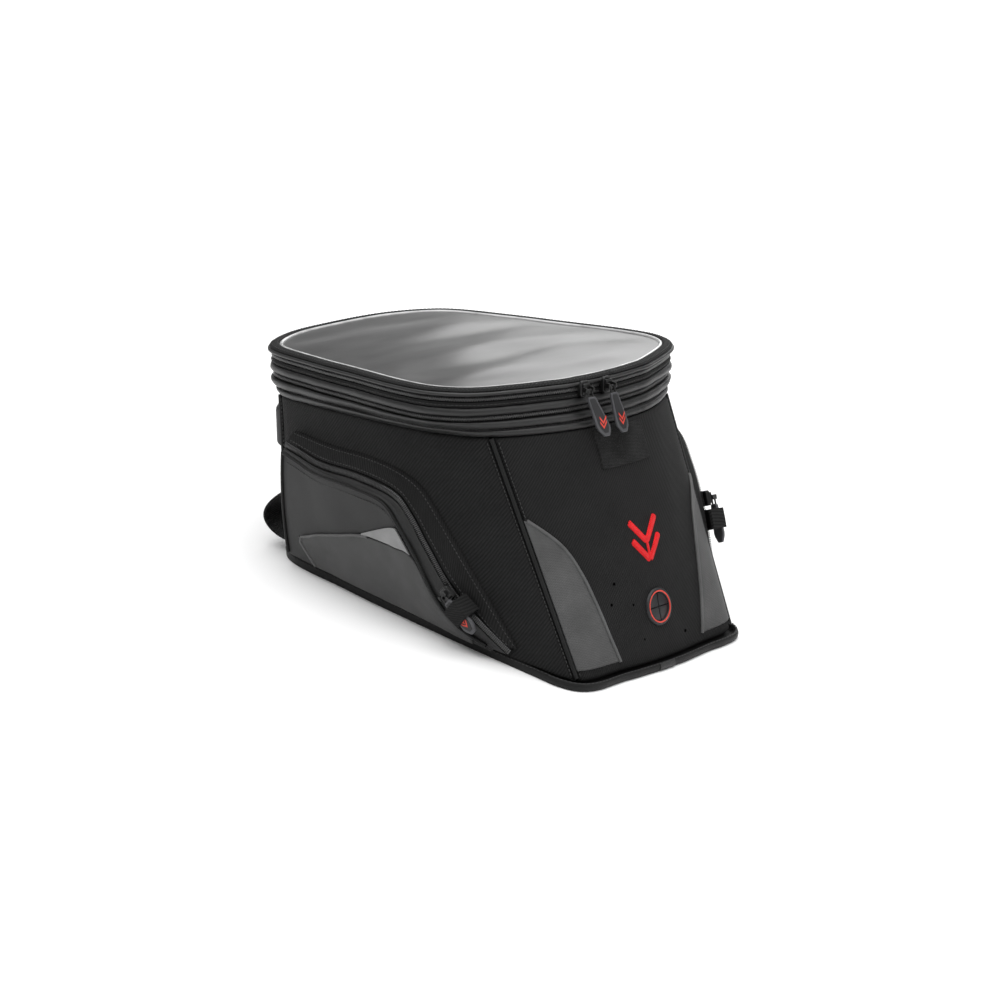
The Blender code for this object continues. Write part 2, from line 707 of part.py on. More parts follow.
def bow_strip(name, x_range, z_range, stand, thickness, look):
    """Webbing that leaves the back panel, stands off it and comes back."""
    grids = []
    for extra in (0, thickness):
        rows = []
        for t in spread(0, 1, 11):
            x = x_range[0] + (x_range[1] - x_range[0]) * t
            bow = min(1.0, math.sqrt(max(0.0, math.sin(t * math.pi))) * 1.1)
            rows.append([wall_point(back_u(x), z / wall_point(back_u(x), 1).z, 0.5 + stand * bow + extra)
                         for z in z_range])
        grids.append(rows)
    return grid_solid(name, *grids, look)


def back_u(x):
    """The outline parameter on the back panel where the base is at x."""
    middle = len(BASE_HALF) - 1
    low, high = REAR_SEAM, 2 * middle - REAR_SEAM
    for _ in range(30):
        u = (low + high) / 2
        if around(BASE_HALF, u)[0] > x:
            low = u
        else:
            high = u
    return u


def make_back():
    bow_strip("carry_handle", (86, -86), (88, 120), 17, 3.0, rubber())
    for side, sign in (("right", 1), ("left", -1)):
        grids = []
        for extra in (0, 2.0):
            rows = []
            for t in spread(0, 1, 9):
                z = 10 + 40 * t
                bow = math.sin(t * math.pi) ** 0.7
                rows.append([wall_point(back_u(sign * x), z / wall_point(back_u(sign * x), 1).z,
                                        1.0 + 19 * bow + extra) for x in (64, 86)])
            grids.append(rows)
        grid_solid(f"{side}_rear_loop", *grids, zip_black())


def main():
    for old in list(bpy.data.objects):
        bpy.data.objects.remove(old)
    make_base()
    front, stiff = make_walls()
    make_front_trim(front, stiff)
    make_top()
    make_hinge_tape()
    make_zip_sliders()
    for side, sign in (("right", 1), ("left", -1)):
        make_pocket(side, sign)
    make_back()


main()
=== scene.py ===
"""Looks of the motorcycle tank bag: fabrics, rolls, zips, stitching, window, rubber and metal.

Shapes are worked out in millimetres in the CAD's own terms: the lid lies in a deck whose points are
(x, s, h), across, back along the deck and up from it. Every piece rides on the CAD body it belongs to.
"""

import math

import bmesh
import bpy
from mathutils import Matrix, Vector, noise


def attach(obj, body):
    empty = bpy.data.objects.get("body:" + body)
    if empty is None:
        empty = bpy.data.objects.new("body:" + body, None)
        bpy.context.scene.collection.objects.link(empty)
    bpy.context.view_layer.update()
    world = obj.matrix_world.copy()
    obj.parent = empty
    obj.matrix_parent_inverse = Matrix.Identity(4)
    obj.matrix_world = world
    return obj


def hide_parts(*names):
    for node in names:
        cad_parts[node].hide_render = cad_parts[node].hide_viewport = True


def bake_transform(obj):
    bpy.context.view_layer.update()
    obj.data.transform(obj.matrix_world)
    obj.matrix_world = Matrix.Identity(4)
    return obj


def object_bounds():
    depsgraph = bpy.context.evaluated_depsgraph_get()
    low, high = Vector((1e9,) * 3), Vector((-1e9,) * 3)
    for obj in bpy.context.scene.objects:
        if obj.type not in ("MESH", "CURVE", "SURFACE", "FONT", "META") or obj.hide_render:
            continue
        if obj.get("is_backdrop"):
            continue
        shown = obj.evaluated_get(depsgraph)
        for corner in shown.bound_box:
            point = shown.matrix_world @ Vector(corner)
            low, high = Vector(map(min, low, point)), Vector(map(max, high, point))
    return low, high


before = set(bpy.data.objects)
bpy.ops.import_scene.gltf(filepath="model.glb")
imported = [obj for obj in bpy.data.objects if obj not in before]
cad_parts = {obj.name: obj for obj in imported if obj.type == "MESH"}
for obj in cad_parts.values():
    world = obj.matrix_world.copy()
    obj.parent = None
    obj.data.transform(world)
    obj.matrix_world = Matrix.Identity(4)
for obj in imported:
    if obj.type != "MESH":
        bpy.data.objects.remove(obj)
cad_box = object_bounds()

MM = 0.001
ORIGIN_Y = 186.26                   # where the CAD's origin lies along the bag
DECK_TILT = math.radians(8.8)       # how far the top slopes down towards the back

# Half outlines from the middle of the front to the middle of the back.
BASE_HALF = [(0, -6), (48, -3.5), (93, 2), (102, 43), (104, 105), (104, 172), (102, 239), (95, 311),
             (48, 330), (0, 334)]
RIM_HALF = [(0, 48), (53, 55), (104, 83), (119, 122), (122, 160), (119, 210), (114, 260), (102, 307),
            (52, 326), (0, 331)]
LID_HALF = [(0, 48), (30, 50), (57, 55.4), (113, 80), (136, 110), (139, 148), (130, 207), (122, 258),
            (105, 318), (60, 346), (0, 352)]
SEAM = 2                            # the outline point where a front seam runs
REAR_SEAM = 7                       # the outline point where a rear seam runs
LAST = len(BASE_HALF) * 2 - 2       # outline points once round
LOOP_COUNT = 200                    # mesh points once round
RIM_H = 186.2                       # deck height where the walls end
BELLY = 6.0                         # how far the front panel swells out
POCKET_DEPTH = 13.0                 # how far a pocket swells off the wall
HALVINGS = 22                       # steps of the searches for a place on the wall
HOOK_SEED = 7                       # keeps the scattered hooks the same each time

# Deck heights of the stacked bands, from the body's top rolls to the lid's edge.
TOP_ROLLS = (184.2, 190.2, 197.2)
GUSSET = (197.7, 206.2)
COLLAR_ROLL = (201.9, 208.3)
LID_ROLL = (217.4, 220.8)
LID_TOP = 221.0
BAND_INNER = 9.5                    # how far the bands reach in from the lid's outline

# Zip halves: body, heights of the tape and of the teeth, and how far in each of the two lies.
ZIP_HALVES = {
    "expansion_{}_lower": ("bag_body", (197.5, 199.3), (197.7, 200.4), 6.0, 5.6),
    "expansion_{}_upper": ("collar", (199.8, 201.6), (198.7, 201.4), 6.0, 5.6),
    "main_{}_lower": ("collar", (213.0, 214.8), (213.3, 215.9), 4.8, 4.3),
    "main_{}_upper": ("lid", (215.3, 217.1), (214.2, 216.8), 4.8, 4.3),
}
FRONT_ARC = (223.0, 271.0)          # radius and centre of the front run of the zip
BACK_ARC = (303.0, 49.0)
MAIN_ZIP_H = 215.05
EXPANSION_ZIP_H = 199.55
MAIN_SLIDERS = {"left": (-8.6, 0.34), "right": (-2.6, 0.18)}   # degrees along the arc, puller's slant
EXPANSION_SLIDER = -6.0
PIN_OUT = 9.9                       # how far a puller's pin stands off the zip

EMBLEM_Z = 92.0
PORT_Z = 44.0
PUNCHED_HOLES = [(-42, 67), (-48, 53), (-27, 50), (-21, 24), (29, 20)]
INLAY_CURVE = [(50, 13), (56, 32), (62, 54), (69, 77), (79, 97), (97, 114)]

# Side pockets: curves as (y, z) on the side wall, from the front end to the back end.
POCKETS = {
    "left": {
        "outer": [(57, 15), (74, 32), (103, 61), (136, 94), (158, 114), (182, 121), (215, 121), (262, 115),
                  (305, 112)],
        "zip": [(63, 13), (89, 28), (117, 47), (142, 75), (159, 95), (178, 108), (217, 109), (262, 104),
                (304, 106)],
        "edge": [(77, 10), (109, 20), (130, 39), (147, 65), (166, 87), (185, 101), (222, 101), (262, 98),
                 (303, 101)],
        "foot": [(79, 7.6), (110, 8), (131, 9), (149, 9), (168, 9), (188, 9), (224, 9), (264, 9), (303, 9)],
        "swell": [0.0, 0.35, 0.68, 0.9, 1.0, 1.0, 1.0, 0.95, 0.8],
        "slider": 2,
    },
    "right": {
        "outer": [(31, 27), (43, 50), (56, 72), (69, 95), (87, 121), (110, 144), (146, 152), (215, 141),
                  (303, 120)],
        "zip": [(37, 23), (48, 44), (60, 66), (72.5, 88), (90, 111), (111, 132), (147, 141), (215, 130),
                (302, 112)],
        "edge": [(43, 18), (58, 37), (72, 59), (86, 79), (104, 101), (122, 119), (150, 129), (216, 120),
                 (301, 106)],
        "foot": [(46, 9), (70, 9), (95, 9), (120, 9), (146, 9), (176, 9), (206, 9), (248, 9), (300, 9)],
        "swell": [0.15, 0.55, 0.8, 0.92, 1.12, 1.18, 1.1, 0.95, 0.6],
        "slider": 3,
    },
}
# The inlay's top edge and the flash's corners, as (place along the pocket, share of its height).
POCKET_INLAY = [(0.6, 0.9), (3.0, 0.93), (3.4, 0.9), (4.0, 0.73), (5.0, 0.61), (5.6, 0.6), (6.0, 0.53),
                (6.7, 0.43), (7.3, 0.32), (7.5, 0.22)]
POCKET_FLASH = [(5.6, 0.61), (4.15, 0.93), (3.35, 0.9)]


# ---------------------------------------------------------------- camera, light and floor

CAMERA_TARGET = (148.6, 296.7, 51.1)        # in the deck's x, s, h
CAMERA_DISTANCE = 2752.0
CAMERA_TURN = math.radians(48.47)
CAMERA_RISE = math.radians(14.4)
LENS = 115.2


def deck(x, s, h):
    """The CAD point at x across, s back along the deck and h up from it."""
    cos, sin = math.cos(DECK_TILT), math.sin(DECK_TILT)
    return Vector((x, s * cos + h * sin, -s * sin + h * cos))


def place(point):
    """The scene's place, in metres, for a CAD point in millimetres."""
    return Vector((point[0], point[1] - ORIGIN_Y, point[2])) * MM


def make_camera():
    a, e = CAMERA_TURN, CAMERA_RISE
    back = deck(-math.sin(a) * math.cos(e), -math.cos(a) * math.cos(e), math.sin(e))
    up = deck(math.sin(a) * math.sin(e), math.cos(a) * math.sin(e), math.cos(e))
    right = up.cross(back)
    data = bpy.data.cameras.new("camera")
    data.lens = LENS
    data.clip_start = 0.05
    camera = bpy.data.objects.new("camera", data)
    turn = Matrix((right, up, back)).transposed().to_4x4()
    camera.matrix_world = Matrix.Translation(place(deck(*CAMERA_TARGET) + back * CAMERA_DISTANCE)) @ turn
    bpy.context.collection.objects.link(camera)
    bpy.context.scene.camera = camera


def area_light(name, spot, aim, size, power):
    data = bpy.data.lights.new(name, "AREA")
    data.shape = "RECTANGLE"
    data.size, data.size_y = size
    data.energy = power
    lamp = bpy.data.objects.new(name, data)
    lamp.location = spot
    lamp.rotation_euler = (Vector(aim) - Vector(spot)).to_track_quat("-Z", "Y").to_euler()
    bpy.context.collection.objects.link(lamp)


def make_studio():
    world = bpy.data.worlds.new("studio")
    world.use_nodes = True
    tree = world.node_tree
    way = node(tree, "ShaderNodeTexCoord").outputs["Generated"]
    height = node(tree, "ShaderNodeSeparateXYZ", Vector=way).outputs["Z"]
    sky = ramp(tree, height, [(0.0, 0.2), (0.45, 0.4), (1.0, 1.0)])
    feed(tree, sky, tree.nodes["Background"].inputs["Color"])
    bpy.context.scene.world = world
    bpy.context.scene.view_settings.view_transform = "Standard"
    area_light("overhead", (-0.2, 0.1, 2.4), (0, 0, 0), (3.4, 3.4), 88)
    area_light("front", (0.5, -2.2, 1.0), (0, 0, 0.1), (1.2, 1.0), 9)
    area_light("card", (3.04, 1.76, 1.05), (0, 0, 0.2), (1.69, 1.3), 16.9)
    half = 14.0
    mesh = bpy.data.meshes.new("floor")
    corners = [(-half, -half, 0), (half, -half, 0), (half, half, 0), (-half, half, 0)]
    mesh.from_pydata(corners, [], [(0, 1, 2, 3)])
    floor = bpy.data.objects.new("floor", mesh)
    bpy.context.collection.objects.link(floor)
    made, _, shader = new_material("floor", 0.9)
    shader.inputs["Base Color"].default_value = (0.89, 0.89, 0.89, 1)
    mesh.materials.append(made)
    floor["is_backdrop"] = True


# ---------------------------------------------------------------- materials

def feed(tree, value, socket):
    """Links the socket to an output, or sets it to a value."""
    if isinstance(value, bpy.types.NodeSocket):
        tree.links.new(value, socket)
    else:
        socket.default_value = value


def node(tree, kind, settings=None, **sockets):
    made = tree.nodes.new(kind)
    for key, value in (settings or {}).items():
        setattr(made, key, value)
    for key, value in sockets.items():
        feed(tree, value, made.inputs[key.replace("_", " ")])
    return made


def multiply_add(tree, *values):
    made = node(tree, "ShaderNodeMath", {"operation": "MULTIPLY_ADD"})
    for value, socket in zip(values, made.inputs):
        feed(tree, value, socket)
    return made.outputs[0]


def ramp(tree, source, stops):
    """A colour ramp whose stops are greys or colours."""
    made = node(tree, "ShaderNodeValToRGB", Fac=source)
    elements = made.color_ramp.elements
    while len(elements) < len(stops):
        elements.new(0.5)
    for element, (position, colour) in zip(elements, stops):
        element.position = position
        element.color = (*colour, 1) if isinstance(colour, tuple) else (colour, colour, colour, 1)
    return made.outputs["Color"]


def new_material(name, roughness, metallic=0.0, coat=0.0, specular=0.5):
    made = bpy.data.materials.new(name)
    made.use_nodes = True
    shader = made.node_tree.nodes["Principled BSDF"]
    settings = {"Roughness": roughness, "Metallic": metallic, "Coat Weight": coat, "Coat Roughness": 0.25,
                "Specular IOR Level": specular}
    for socket, value in settings.items():
        shader.inputs[socket].default_value = value
    return made, made.node_tree, shader


def add_relief(tree, shader, height, strength, distance):
    relief = node(tree, "ShaderNodeBump", Height=height, Strength=strength, Distance=distance)
    feed(tree, relief.outputs["Normal"], shader.inputs["Normal"])


def wave(tree, coordinates, period_mm, turn):
    """Ribs a period apart, turned in the cloth's plane."""
    turned = node(tree, "ShaderNodeVectorRotate", {"rotation_type": "Z_AXIS"}, Vector=coordinates,
                  Angle=math.radians(turn))
    made = node(tree, "ShaderNodeTexWave", {"wave_profile": "SIN", "bands_direction": "X"},
                Vector=turned.outputs["Vector"], Scale=math.pi / 10 / (period_mm * MM), Distortion=0.35,
                Detail=0.0, Detail_Scale=0.4)
    return made.outputs["Fac"]


def woven(name, dark, light, roughness, ribs, bump=0.3, blotch=0.25, specular=0.2):
    """Cloth with ribs listed as (period in mm, turn in degrees, share)."""
    made, tree, shader = new_material(name, roughness, specular=specular)
    cloth = node(tree, "ShaderNodeAttribute", {"attribute_name": "cloth"}).outputs["Vector"]
    height = 0.0
    for period, turn, share in ribs:
        height = multiply_add(tree, wave(tree, cloth, period, turn), share, height)
    where = node(tree, "ShaderNodeTexCoord").outputs["Object"]
    cloud = node(tree, "ShaderNodeTexNoise", Vector=where, Scale=38.0, Detail=4.0, Roughness=0.6)
    fuzz = node(tree, "ShaderNodeTexNoise", Vector=where, Scale=1400.0, Detail=2.0)
    height = multiply_add(tree, fuzz.outputs["Fac"], 0.35, height)
    shade = node(tree, "ShaderNodeMix", {"data_type": "RGBA", "blend_type": "MULTIPLY"})
    shade.inputs["Factor"].default_value = 1.0
    feed(tree, ramp(tree, height, [(0.15, dark), (0.95, light)]), shade.inputs[6])
    patches = ramp(tree, cloud.outputs["Fac"], [(0.25, 1 - blotch), (0.75, 1 + blotch)])
    feed(tree, patches, shade.inputs[7])
    feed(tree, shade.outputs[2], shader.inputs["Base Color"])
    add_relief(tree, shader, height, bump, 0.0004)
    return made


def moulded(name, dark, light, roughness, grain=900.0, bump=0.12, metallic=0.0, coat=0.0, specular=0.4):
    """Rubber, plastic or metal with a fine grain and a little wear in its colour."""
    made, tree, shader = new_material(name, roughness, metallic, coat, specular)
    where = node(tree, "ShaderNodeTexCoord").outputs["Object"]
    cloud = node(tree, "ShaderNodeTexNoise", Vector=where, Scale=60.0, Detail=5.0)
    feed(tree, ramp(tree, cloud.outputs["Fac"], [(0.3, dark), (0.75, light)]), shader.inputs["Base Color"])
    fine = node(tree, "ShaderNodeTexNoise", Vector=where, Scale=grain, Detail=3.0)
    add_relief(tree, shader, fine.outputs["Fac"], bump, 0.0003)
    return made


def vinyl():
    """Soft glossy vinyl over a grey lining, with long soft clouds."""
    made, tree, shader = new_material("window_vinyl", 0.3)
    where = node(tree, "ShaderNodeTexCoord").outputs["Object"]
    stretched = node(tree, "ShaderNodeMapping", Vector=where, Scale=(5.0, 16.0, 5.0))
    cloud = node(tree, "ShaderNodeTexNoise", Vector=stretched.outputs["Vector"], Scale=1.6, Detail=3.0)
    feed(tree, ramp(tree, cloud.outputs["Fac"], [(0.3, 0.02), (0.7, 0.05)]), shader.inputs["Base Color"])
    add_relief(tree, shader, cloud.outputs["Fac"], 0.12, 0.004)
    return made


def plain(period):
    """Equal ribs along and across the cloth."""
    return [(period, 0, 0.5), (period, 90, 0.5)]


SLANTED = [(0.9, 45, 0.6), (0.9, -45, 0.4)]
TWILL = woven("twill", 0.001, 0.0105, 0.75, [(1.9, 45, 0.75), (0.95, -45, 0.25)], bump=0.8)
SMOOTH = woven("smooth_fabric", 0.006, 0.014, 0.52, plain(0.8), specular=0.36)
GREY = woven("grey_fabric", 0.034, 0.064, 0.55, plain(1.3), bump=0.5, specular=0.4)
POCKET_GREY = woven("pocket_grey", 0.026, 0.044, 0.5, plain(1.1), bump=0.4, specular=0.4)
ROLL = woven("roll_fabric", 0.003, 0.011, 0.42, SLANTED, specular=0.45)
GREY_ROLL = woven("grey_piping", 0.05, 0.085, 0.45, SLANTED, specular=0.4)
PIPING = woven("piping", 0.002, 0.006, 0.5, SLANTED, specular=0.25)
TAPE = woven("zip_tape", 0.002, 0.009, 0.7, [(0.7, 0, 0.6), (0.7, 90, 0.4)], bump=0.5)
WEBBING = woven("webbing", 0.001, 0.008, 0.7, [(1.5, 0, 0.7), (0.8, 90, 0.3)], bump=0.9)
HOOK = woven("hook_tape", 0.001, 0.02, 0.9, [(1.3, 20, 0.4), (1.1, 100, 0.6)], bump=1.0, blotch=0.7)
RED = woven("red_thread", (0.55, 0.003, 0.006), (0.8, 0.01, 0.014), 0.5, [(0.8, 68, 1.0)], bump=0.9,
            blotch=0.12)
HOOK_PILE = moulded("hook_pile", 0.002, 0.03, 0.6, grain=300.0, specular=0.3)
BOARD = moulded("board", 0.006, 0.012, 0.7, grain=500.0, bump=0.4, specular=0.3)
TEETH = moulded("zip_teeth", 0.035, 0.06, 0.28, specular=0.7)
RUBBER = moulded("rubber", (0.045, 0.045, 0.049), (0.07, 0.07, 0.076), 0.42)
DARK_RUBBER = moulded("dark_rubber", (0.008, 0.008, 0.009), (0.016, 0.016, 0.018), 0.45)
METAL = moulded("dark_metal", 0.02, 0.045, 0.28, metallic=0.8)
STEEL = moulded("steel", 0.16, 0.28, 0.3, metallic=1.0)
THREAD = moulded("thread", 0.026, 0.045, 0.55, specular=0.3)
RED_PRINT = moulded("red_print", (0.5, 0.035, 0.02), (0.65, 0.06, 0.04), 0.5)
REFLECTIVE = moulded("reflective", 0.17, 0.23, 0.35, grain=1600.0, bump=0.2)
# A pale bead: its colour is partly the weld's own and partly a painted highlight along the window's edge.
WELD_AND_HIGHLIGHT = moulded("window_weld", 0.28, 0.58, 0.2, coat=0.4)
# Nearly black with no specular: painted shade standing in for the dark insides of the punched holes.
PAINTED_HOLE_SHADE = moulded("painted_hole_shade", 0.0004, 0.0008, 0.9, specular=0.0)
VINYL = vinyl()


# ---------------------------------------------------------------- curves and surfaces

def spline_point(points, at):
    """A point of the smooth curve through the points, at a place counted in points."""
    last = len(points) - 1
    i = max(0, min(int(at), last - 1))
    t = at - i
    four = (points[max(i - 1, 0)], points[i], points[i + 1], points[min(i + 2, last)])
    weights = (-t + 2 * t**2 - t**3, 2 - 5 * t**2 + 3 * t**3, t + 4 * t**2 - 3 * t**3, t**3 - t**2)
    return [sum(w * q[k] for w, q in zip(weights, four)) / 2 for k in range(len(points[0]))]


def around(half, at):
    """A point of the whole outline that a half outline stands for."""
    full = list(half) + [(-x, y) for x, y in half[-2:0:-1]]
    i = math.floor(at)
    return spline_point([full[(i + k) % len(full)] for k in (-1, 0, 1, 2)], 1 + at - i)


def belly(u, v):
    """How far the front panel swells out at a wall point."""
    turn = (u + LAST / 2) % LAST - LAST / 2
    across = max(0.0, 1 - (turn / SEAM) ** 2)
    return BELLY * across * math.sin(math.pi * min(max(v, 0.0), 1.0))


def wall_point(u, v, out=0.0):
    """A point of the body's wall: u round the outline, v from the base (0) to the rim (1)."""
    def bare(a, b):
        foot, head = around(BASE_HALF, a), around(RIM_HALF, a)
        swell = belly(a, b)
        return Vector((foot[0], foot[1] - swell, 0)).lerp(deck(head[0], head[1] - swell, RIM_H), b)
    here = bare(u, v)
    if not out:
        return here
    step = 0.02
    normal = (bare(u + step, v) - bare(u - step, v)).cross(bare(u, v + step) - bare(u, v - step))
    return here + normal.normalized() * out


def wall_at(axis, value, z, low, high):
    """The wall's (u, v) at height z where x (axis 0) or y (axis 1) has the value, by halving."""
    for _ in range(HALVINGS):
        u = (low + high) / 2
        v = z / wall_point(u, 1).z
        if wall_point(u, v)[axis] < value:
            low = u
        else:
            high = u
    return u, v


def front_uv(x, z):
    return wall_at(0, x, z, -SEAM, SEAM)


def back_u(x):
    """The outline place on the back where the base lies at x."""
    low, high = REAR_SEAM, LAST - REAR_SEAM
    for _ in range(HALVINGS):
        u = (low + high) / 2
        if around(BASE_HALF, u)[0] > x:
            low = u
        else:
            high = u
    return u


def side_point(sign, y, z, out):
    u, v = wall_at(1, y, z, SEAM, REAR_SEAM)
    point = wall_point(u, v, out)
    return Vector((sign * point.x, point.y, point.z))


def smooth_loop(half, inset=0.0):
    """LOOP_COUNT points round an outline, moved in from it."""
    span = len(half) * 2 - 2
    loop = [Vector(around(half, span * i / LOOP_COUNT)) for i in range(LOOP_COUNT)]
    moved = []
    for i in range(LOOP_COUNT):
        along = (loop[(i + 1) % LOOP_COUNT] - loop[i - 1]).normalized()
        moved.append(loop[i] + Vector((-along.y, along.x)) * inset)
    return moved


LID_LOOP = smooth_loop(LID_HALF)
LID_INWARD = [(b - a) for a, b in zip(LID_LOOP, smooth_loop(LID_HALF, 1.0))]
RIM_DENSE = smooth_loop(RIM_HALF)
MIDDLE = Vector((0, 180))


def nearest_rim(point):
    aim = (point - MIDDLE).normalized()
    return max(RIM_DENSE, key=lambda p: (p - MIDDLE).normalized().dot(aim))


RIM_MATCH = [nearest_rim(point) for point in LID_LOOP]


def band_point(i, share, inset, h):
    """A point round the top: share 1 follows the lid's outline, share 0 the body's rim."""
    i %= LOOP_COUNT
    edge = RIM_MATCH[i].lerp(LID_LOOP[i], share) + LID_INWARD[i] * inset
    return deck(edge.x, edge.y, h)


# ---------------------------------------------------------------- building pieces

def tube_faces(rows, cols, closed=False, start=0):
    """Quads round rows of cols points, which close into a ring or end in caps."""
    faces = []
    for i in range(rows if closed else rows - 1):
        j = (i + 1) % rows
        for k in range(cols):
            m = (k + 1) % cols
            faces.append((i * cols + k, j * cols + k, j * cols + m, i * cols + m))
    if not closed:
        faces += [tuple(range(cols)), tuple(range((rows - 1) * cols, rows * cols))]
    return [tuple(start + corner for corner in face) for face in faces]


def shell_faces(rows, cols):
    """Two sheets of rows by cols points, joined round their edges."""
    size = rows * cols
    faces = []
    for i in range(rows - 1):
        for j in range(cols - 1):
            a, b, c, d = i * cols + j, (i + 1) * cols + j, (i + 1) * cols + j + 1, i * cols + j + 1
            faces += [(a, b, c, d), (size + a, size + b, size + c, size + d)]
    rim = [i * cols for i in range(rows)] + [(rows - 1) * cols + j for j in range(1, cols)]
    rim += [i * cols + cols - 1 for i in range(rows - 2, -1, -1)] + list(range(cols - 2, 0, -1))
    return faces + [(a, b, size + b, size + a) for a, b in zip(rim, rim[1:] + rim[:1])]


def finish_piece(name, verts, faces, cloth, look, body, replaced=(), crease=40):
    """A piece from its mesh; cloth gives each vertex its place in the weave, in millimetres."""
    mesh = bpy.data.meshes.new(name)
    mesh.from_pydata([place(v) for v in verts], [], faces)
    bm = bmesh.new()
    bm.from_mesh(mesh)
    bmesh.ops.recalc_face_normals(bm, faces=bm.faces)
    bm.to_mesh(mesh)
    bm.free()
    if cloth:
        layer = mesh.attributes.new("cloth", "FLOAT_VECTOR", "POINT")
        for item, (along, up) in zip(layer.data, cloth):
            item.vector = Vector((along, up, 0)) * MM
    mesh.materials.append(look)
    mesh.shade_smooth()
    mesh.set_sharp_from_angle(angle=math.radians(crease))
    made = bpy.data.objects.new(name, mesh)
    bpy.context.collection.objects.link(made)
    if replaced:
        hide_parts(*replaced)
    if body:
        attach(made, body)
    return made


def stations(count, round_share):
    """Values from 0 to 1, closer together within round_share of each end."""
    if not round_share:
        return [i / (count - 1) for i in range(count)]
    ends = [0, 0.12, 0.35, 0.65, 1]
    inner = [round_share + (1 - 2 * round_share) * i / (count - 1) for i in range(1, count - 1)]
    return [e * round_share for e in ends] + inner + [1 - e * round_share for e in reversed(ends)]


def edge_height(value, round_share):
    """How high a rounded edge stands, from 0 at the rim to 1 inside it."""
    if not round_share:
        return 1.0
    near = min(value, 1 - value) / round_share
    return 1.0 if near >= 1 else math.sqrt(max(0.0, 1 - (1 - near) ** 2))


def padded_sheet(name, at, counts, rounds, base, thickness, look, body, replaced=(), ripple=None):
    """A closed sheet over at(s, t, out), its outer side rounded off towards its edges."""
    s_values, t_values = stations(counts[0], rounds[0]), stations(counts[1], rounds[1])
    lengths = [0.0]
    for a, b in zip(s_values, s_values[1:]):
        lengths.append(lengths[-1] + (at(b, 0.5, 0) - at(a, 0.5, 0)).length)
    verts, cloth = [], []
    for layer in (0, 1):
        for s, along in zip(s_values, lengths):
            up = 0.0
            last = None
            for t in t_values:
                out = base
                if layer:
                    round_off = edge_height(s, rounds[0]) * edge_height(t, rounds[1])
                    out = base + 0.15 + (thickness - 0.15) * round_off
                    if ripple:
                        out += ripple(s, t) * round_off
                point = at(s, t, out)
                if last is not None:
                    up += (point - last).length
                last = point
                verts.append(point)
                cloth.append((along, up))
    faces = shell_faces(len(s_values), len(t_values))
    return finish_piece(name, verts, faces, cloth, look, body, replaced)


def band(name, at, section, loop, look, body, replaced=()):
    """A closed band: at(i, point) is where a cross-section point lies beside the loop's point i."""
    girth = [0.0]
    for a, b in zip(section, section[1:]):
        girth.append(girth[-1] + math.hypot(b[-2] - a[-2], b[-1] - a[-1]))
    verts, cloth = [], []
    along = 0.0
    for i in range(LOOP_COUNT):
        verts += [at(i, point) for point in section]
        cloth += [(along, up) for up in girth]
        along += (loop[(i + 1) % LOOP_COUNT] - loop[i]).length
    faces = tube_faces(LOOP_COUNT, len(section), closed=True)
    return finish_piece(name, verts, faces, cloth, look, body, replaced, crease=60)


def ring(name, section, look, body, replaced=(), wobble=0.0, seed=0):
    """A band round the top through a cross-section of (share, inset, h) points."""
    def at(i, point):
        share, inset, h = point
        x, y = LID_LOOP[i]
        drift = noise.noise(Vector((x * 0.05, y * 0.05, seed))) * wobble
        fold = noise.noise(Vector((x * 0.16, y * 0.16, seed + 9))) * wobble * 0.3
        return band_point(i, share, inset - drift - fold, h + fold)
    return band(name, at, section, LID_LOOP, look, body, replaced)


def roll_section(low, high, inner, outer, bulge, share_low=1.0, share_high=1.0, steps=9):
    """A cross-section whose outer side is a round roll from low to high."""
    points = [(share_low, inner, low)]
    for k in range(steps + 1):
        angle = math.pi * k / steps
        lift = (1 - math.cos(angle)) / 2
        share = share_low + (share_high - share_low) * lift
        points.append((share, outer - bulge * math.sin(angle), low + (high - low) * lift))
    points.append((share_high, inner, high))
    return points


def cord_tube(name, points, radius, look, body, replaced=(), closed=False):
    """A round cord through the points, as a closed mesh."""
    sides = 10
    verts, cloth = [], []
    count = len(points)
    along = 0.0
    normal = Vector((0.31, 0.17, 0.93))
    for i, point in enumerate(points):
        before = points[i - 1] if i or closed else point
        after = points[(i + 1) % count] if i < count - 1 or closed else point
        tangent = (after - before).normalized()
        normal = (normal - tangent * normal.dot(tangent)).normalized()
        side = tangent.cross(normal)
        for k in range(sides):
            angle = 2 * math.pi * k / sides
            verts.append(point + (normal * math.cos(angle) + side * math.sin(angle)) * radius)
            cloth.append((along, radius * angle))
        along += (after - point).length
    return finish_piece(name, verts, tube_faces(count, sides, closed), cloth, look, body, replaced)


def resample(points, pitch):
    """Points a pitch apart along a polyline, each with its direction."""
    found = []
    carry = 0.0
    for a, b in zip(points, points[1:]):
        span = (b - a).length
        if span < 1e-6:
            continue
        while carry <= span:
            found.append((a.lerp(b, carry / span), (b - a) / span))
            carry += pitch
        carry -= span
    return found


def box_corners(centre, along, across, out, size):
    """Eight corners of a small block that narrows outwards."""
    x, y, z = size[0] / 2, size[1] / 2, size[2]
    low = [centre + along * a + across * b for a, b in ((-x, -y), (x, -y), (x, y), (-x, y))]
    high = [centre + along * a * 0.6 + across * b * 0.75 + out * z
            for a, b in ((-x, -y), (x, -y), (x, y), (-x, y))]
    return low + high


def many_boxes(name, boxes, look, body):
    verts, faces = [], []
    for corners in boxes:
        faces += tube_faces(2, 4, start=len(verts))
        verts += corners
    return finish_piece(name, verts, faces, None, look, body, crease=80)


def stitches(name, lines, body, pitch=3.4, size=(2.3, 0.65, 0.4)):
    """Rows of short thread; each line is a list of (point, outward direction) pairs."""
    boxes = []
    for line in lines:
        points = [p for p, _ in line]
        for spot, along in resample(points, pitch):
            near = min(range(len(points)), key=lambda k: (points[k] - spot).length)
            out = line[near][1]
            boxes.append(box_corners(spot, along, out.cross(along).normalized(), out, size))
    return many_boxes(name, boxes, THREAD, body)


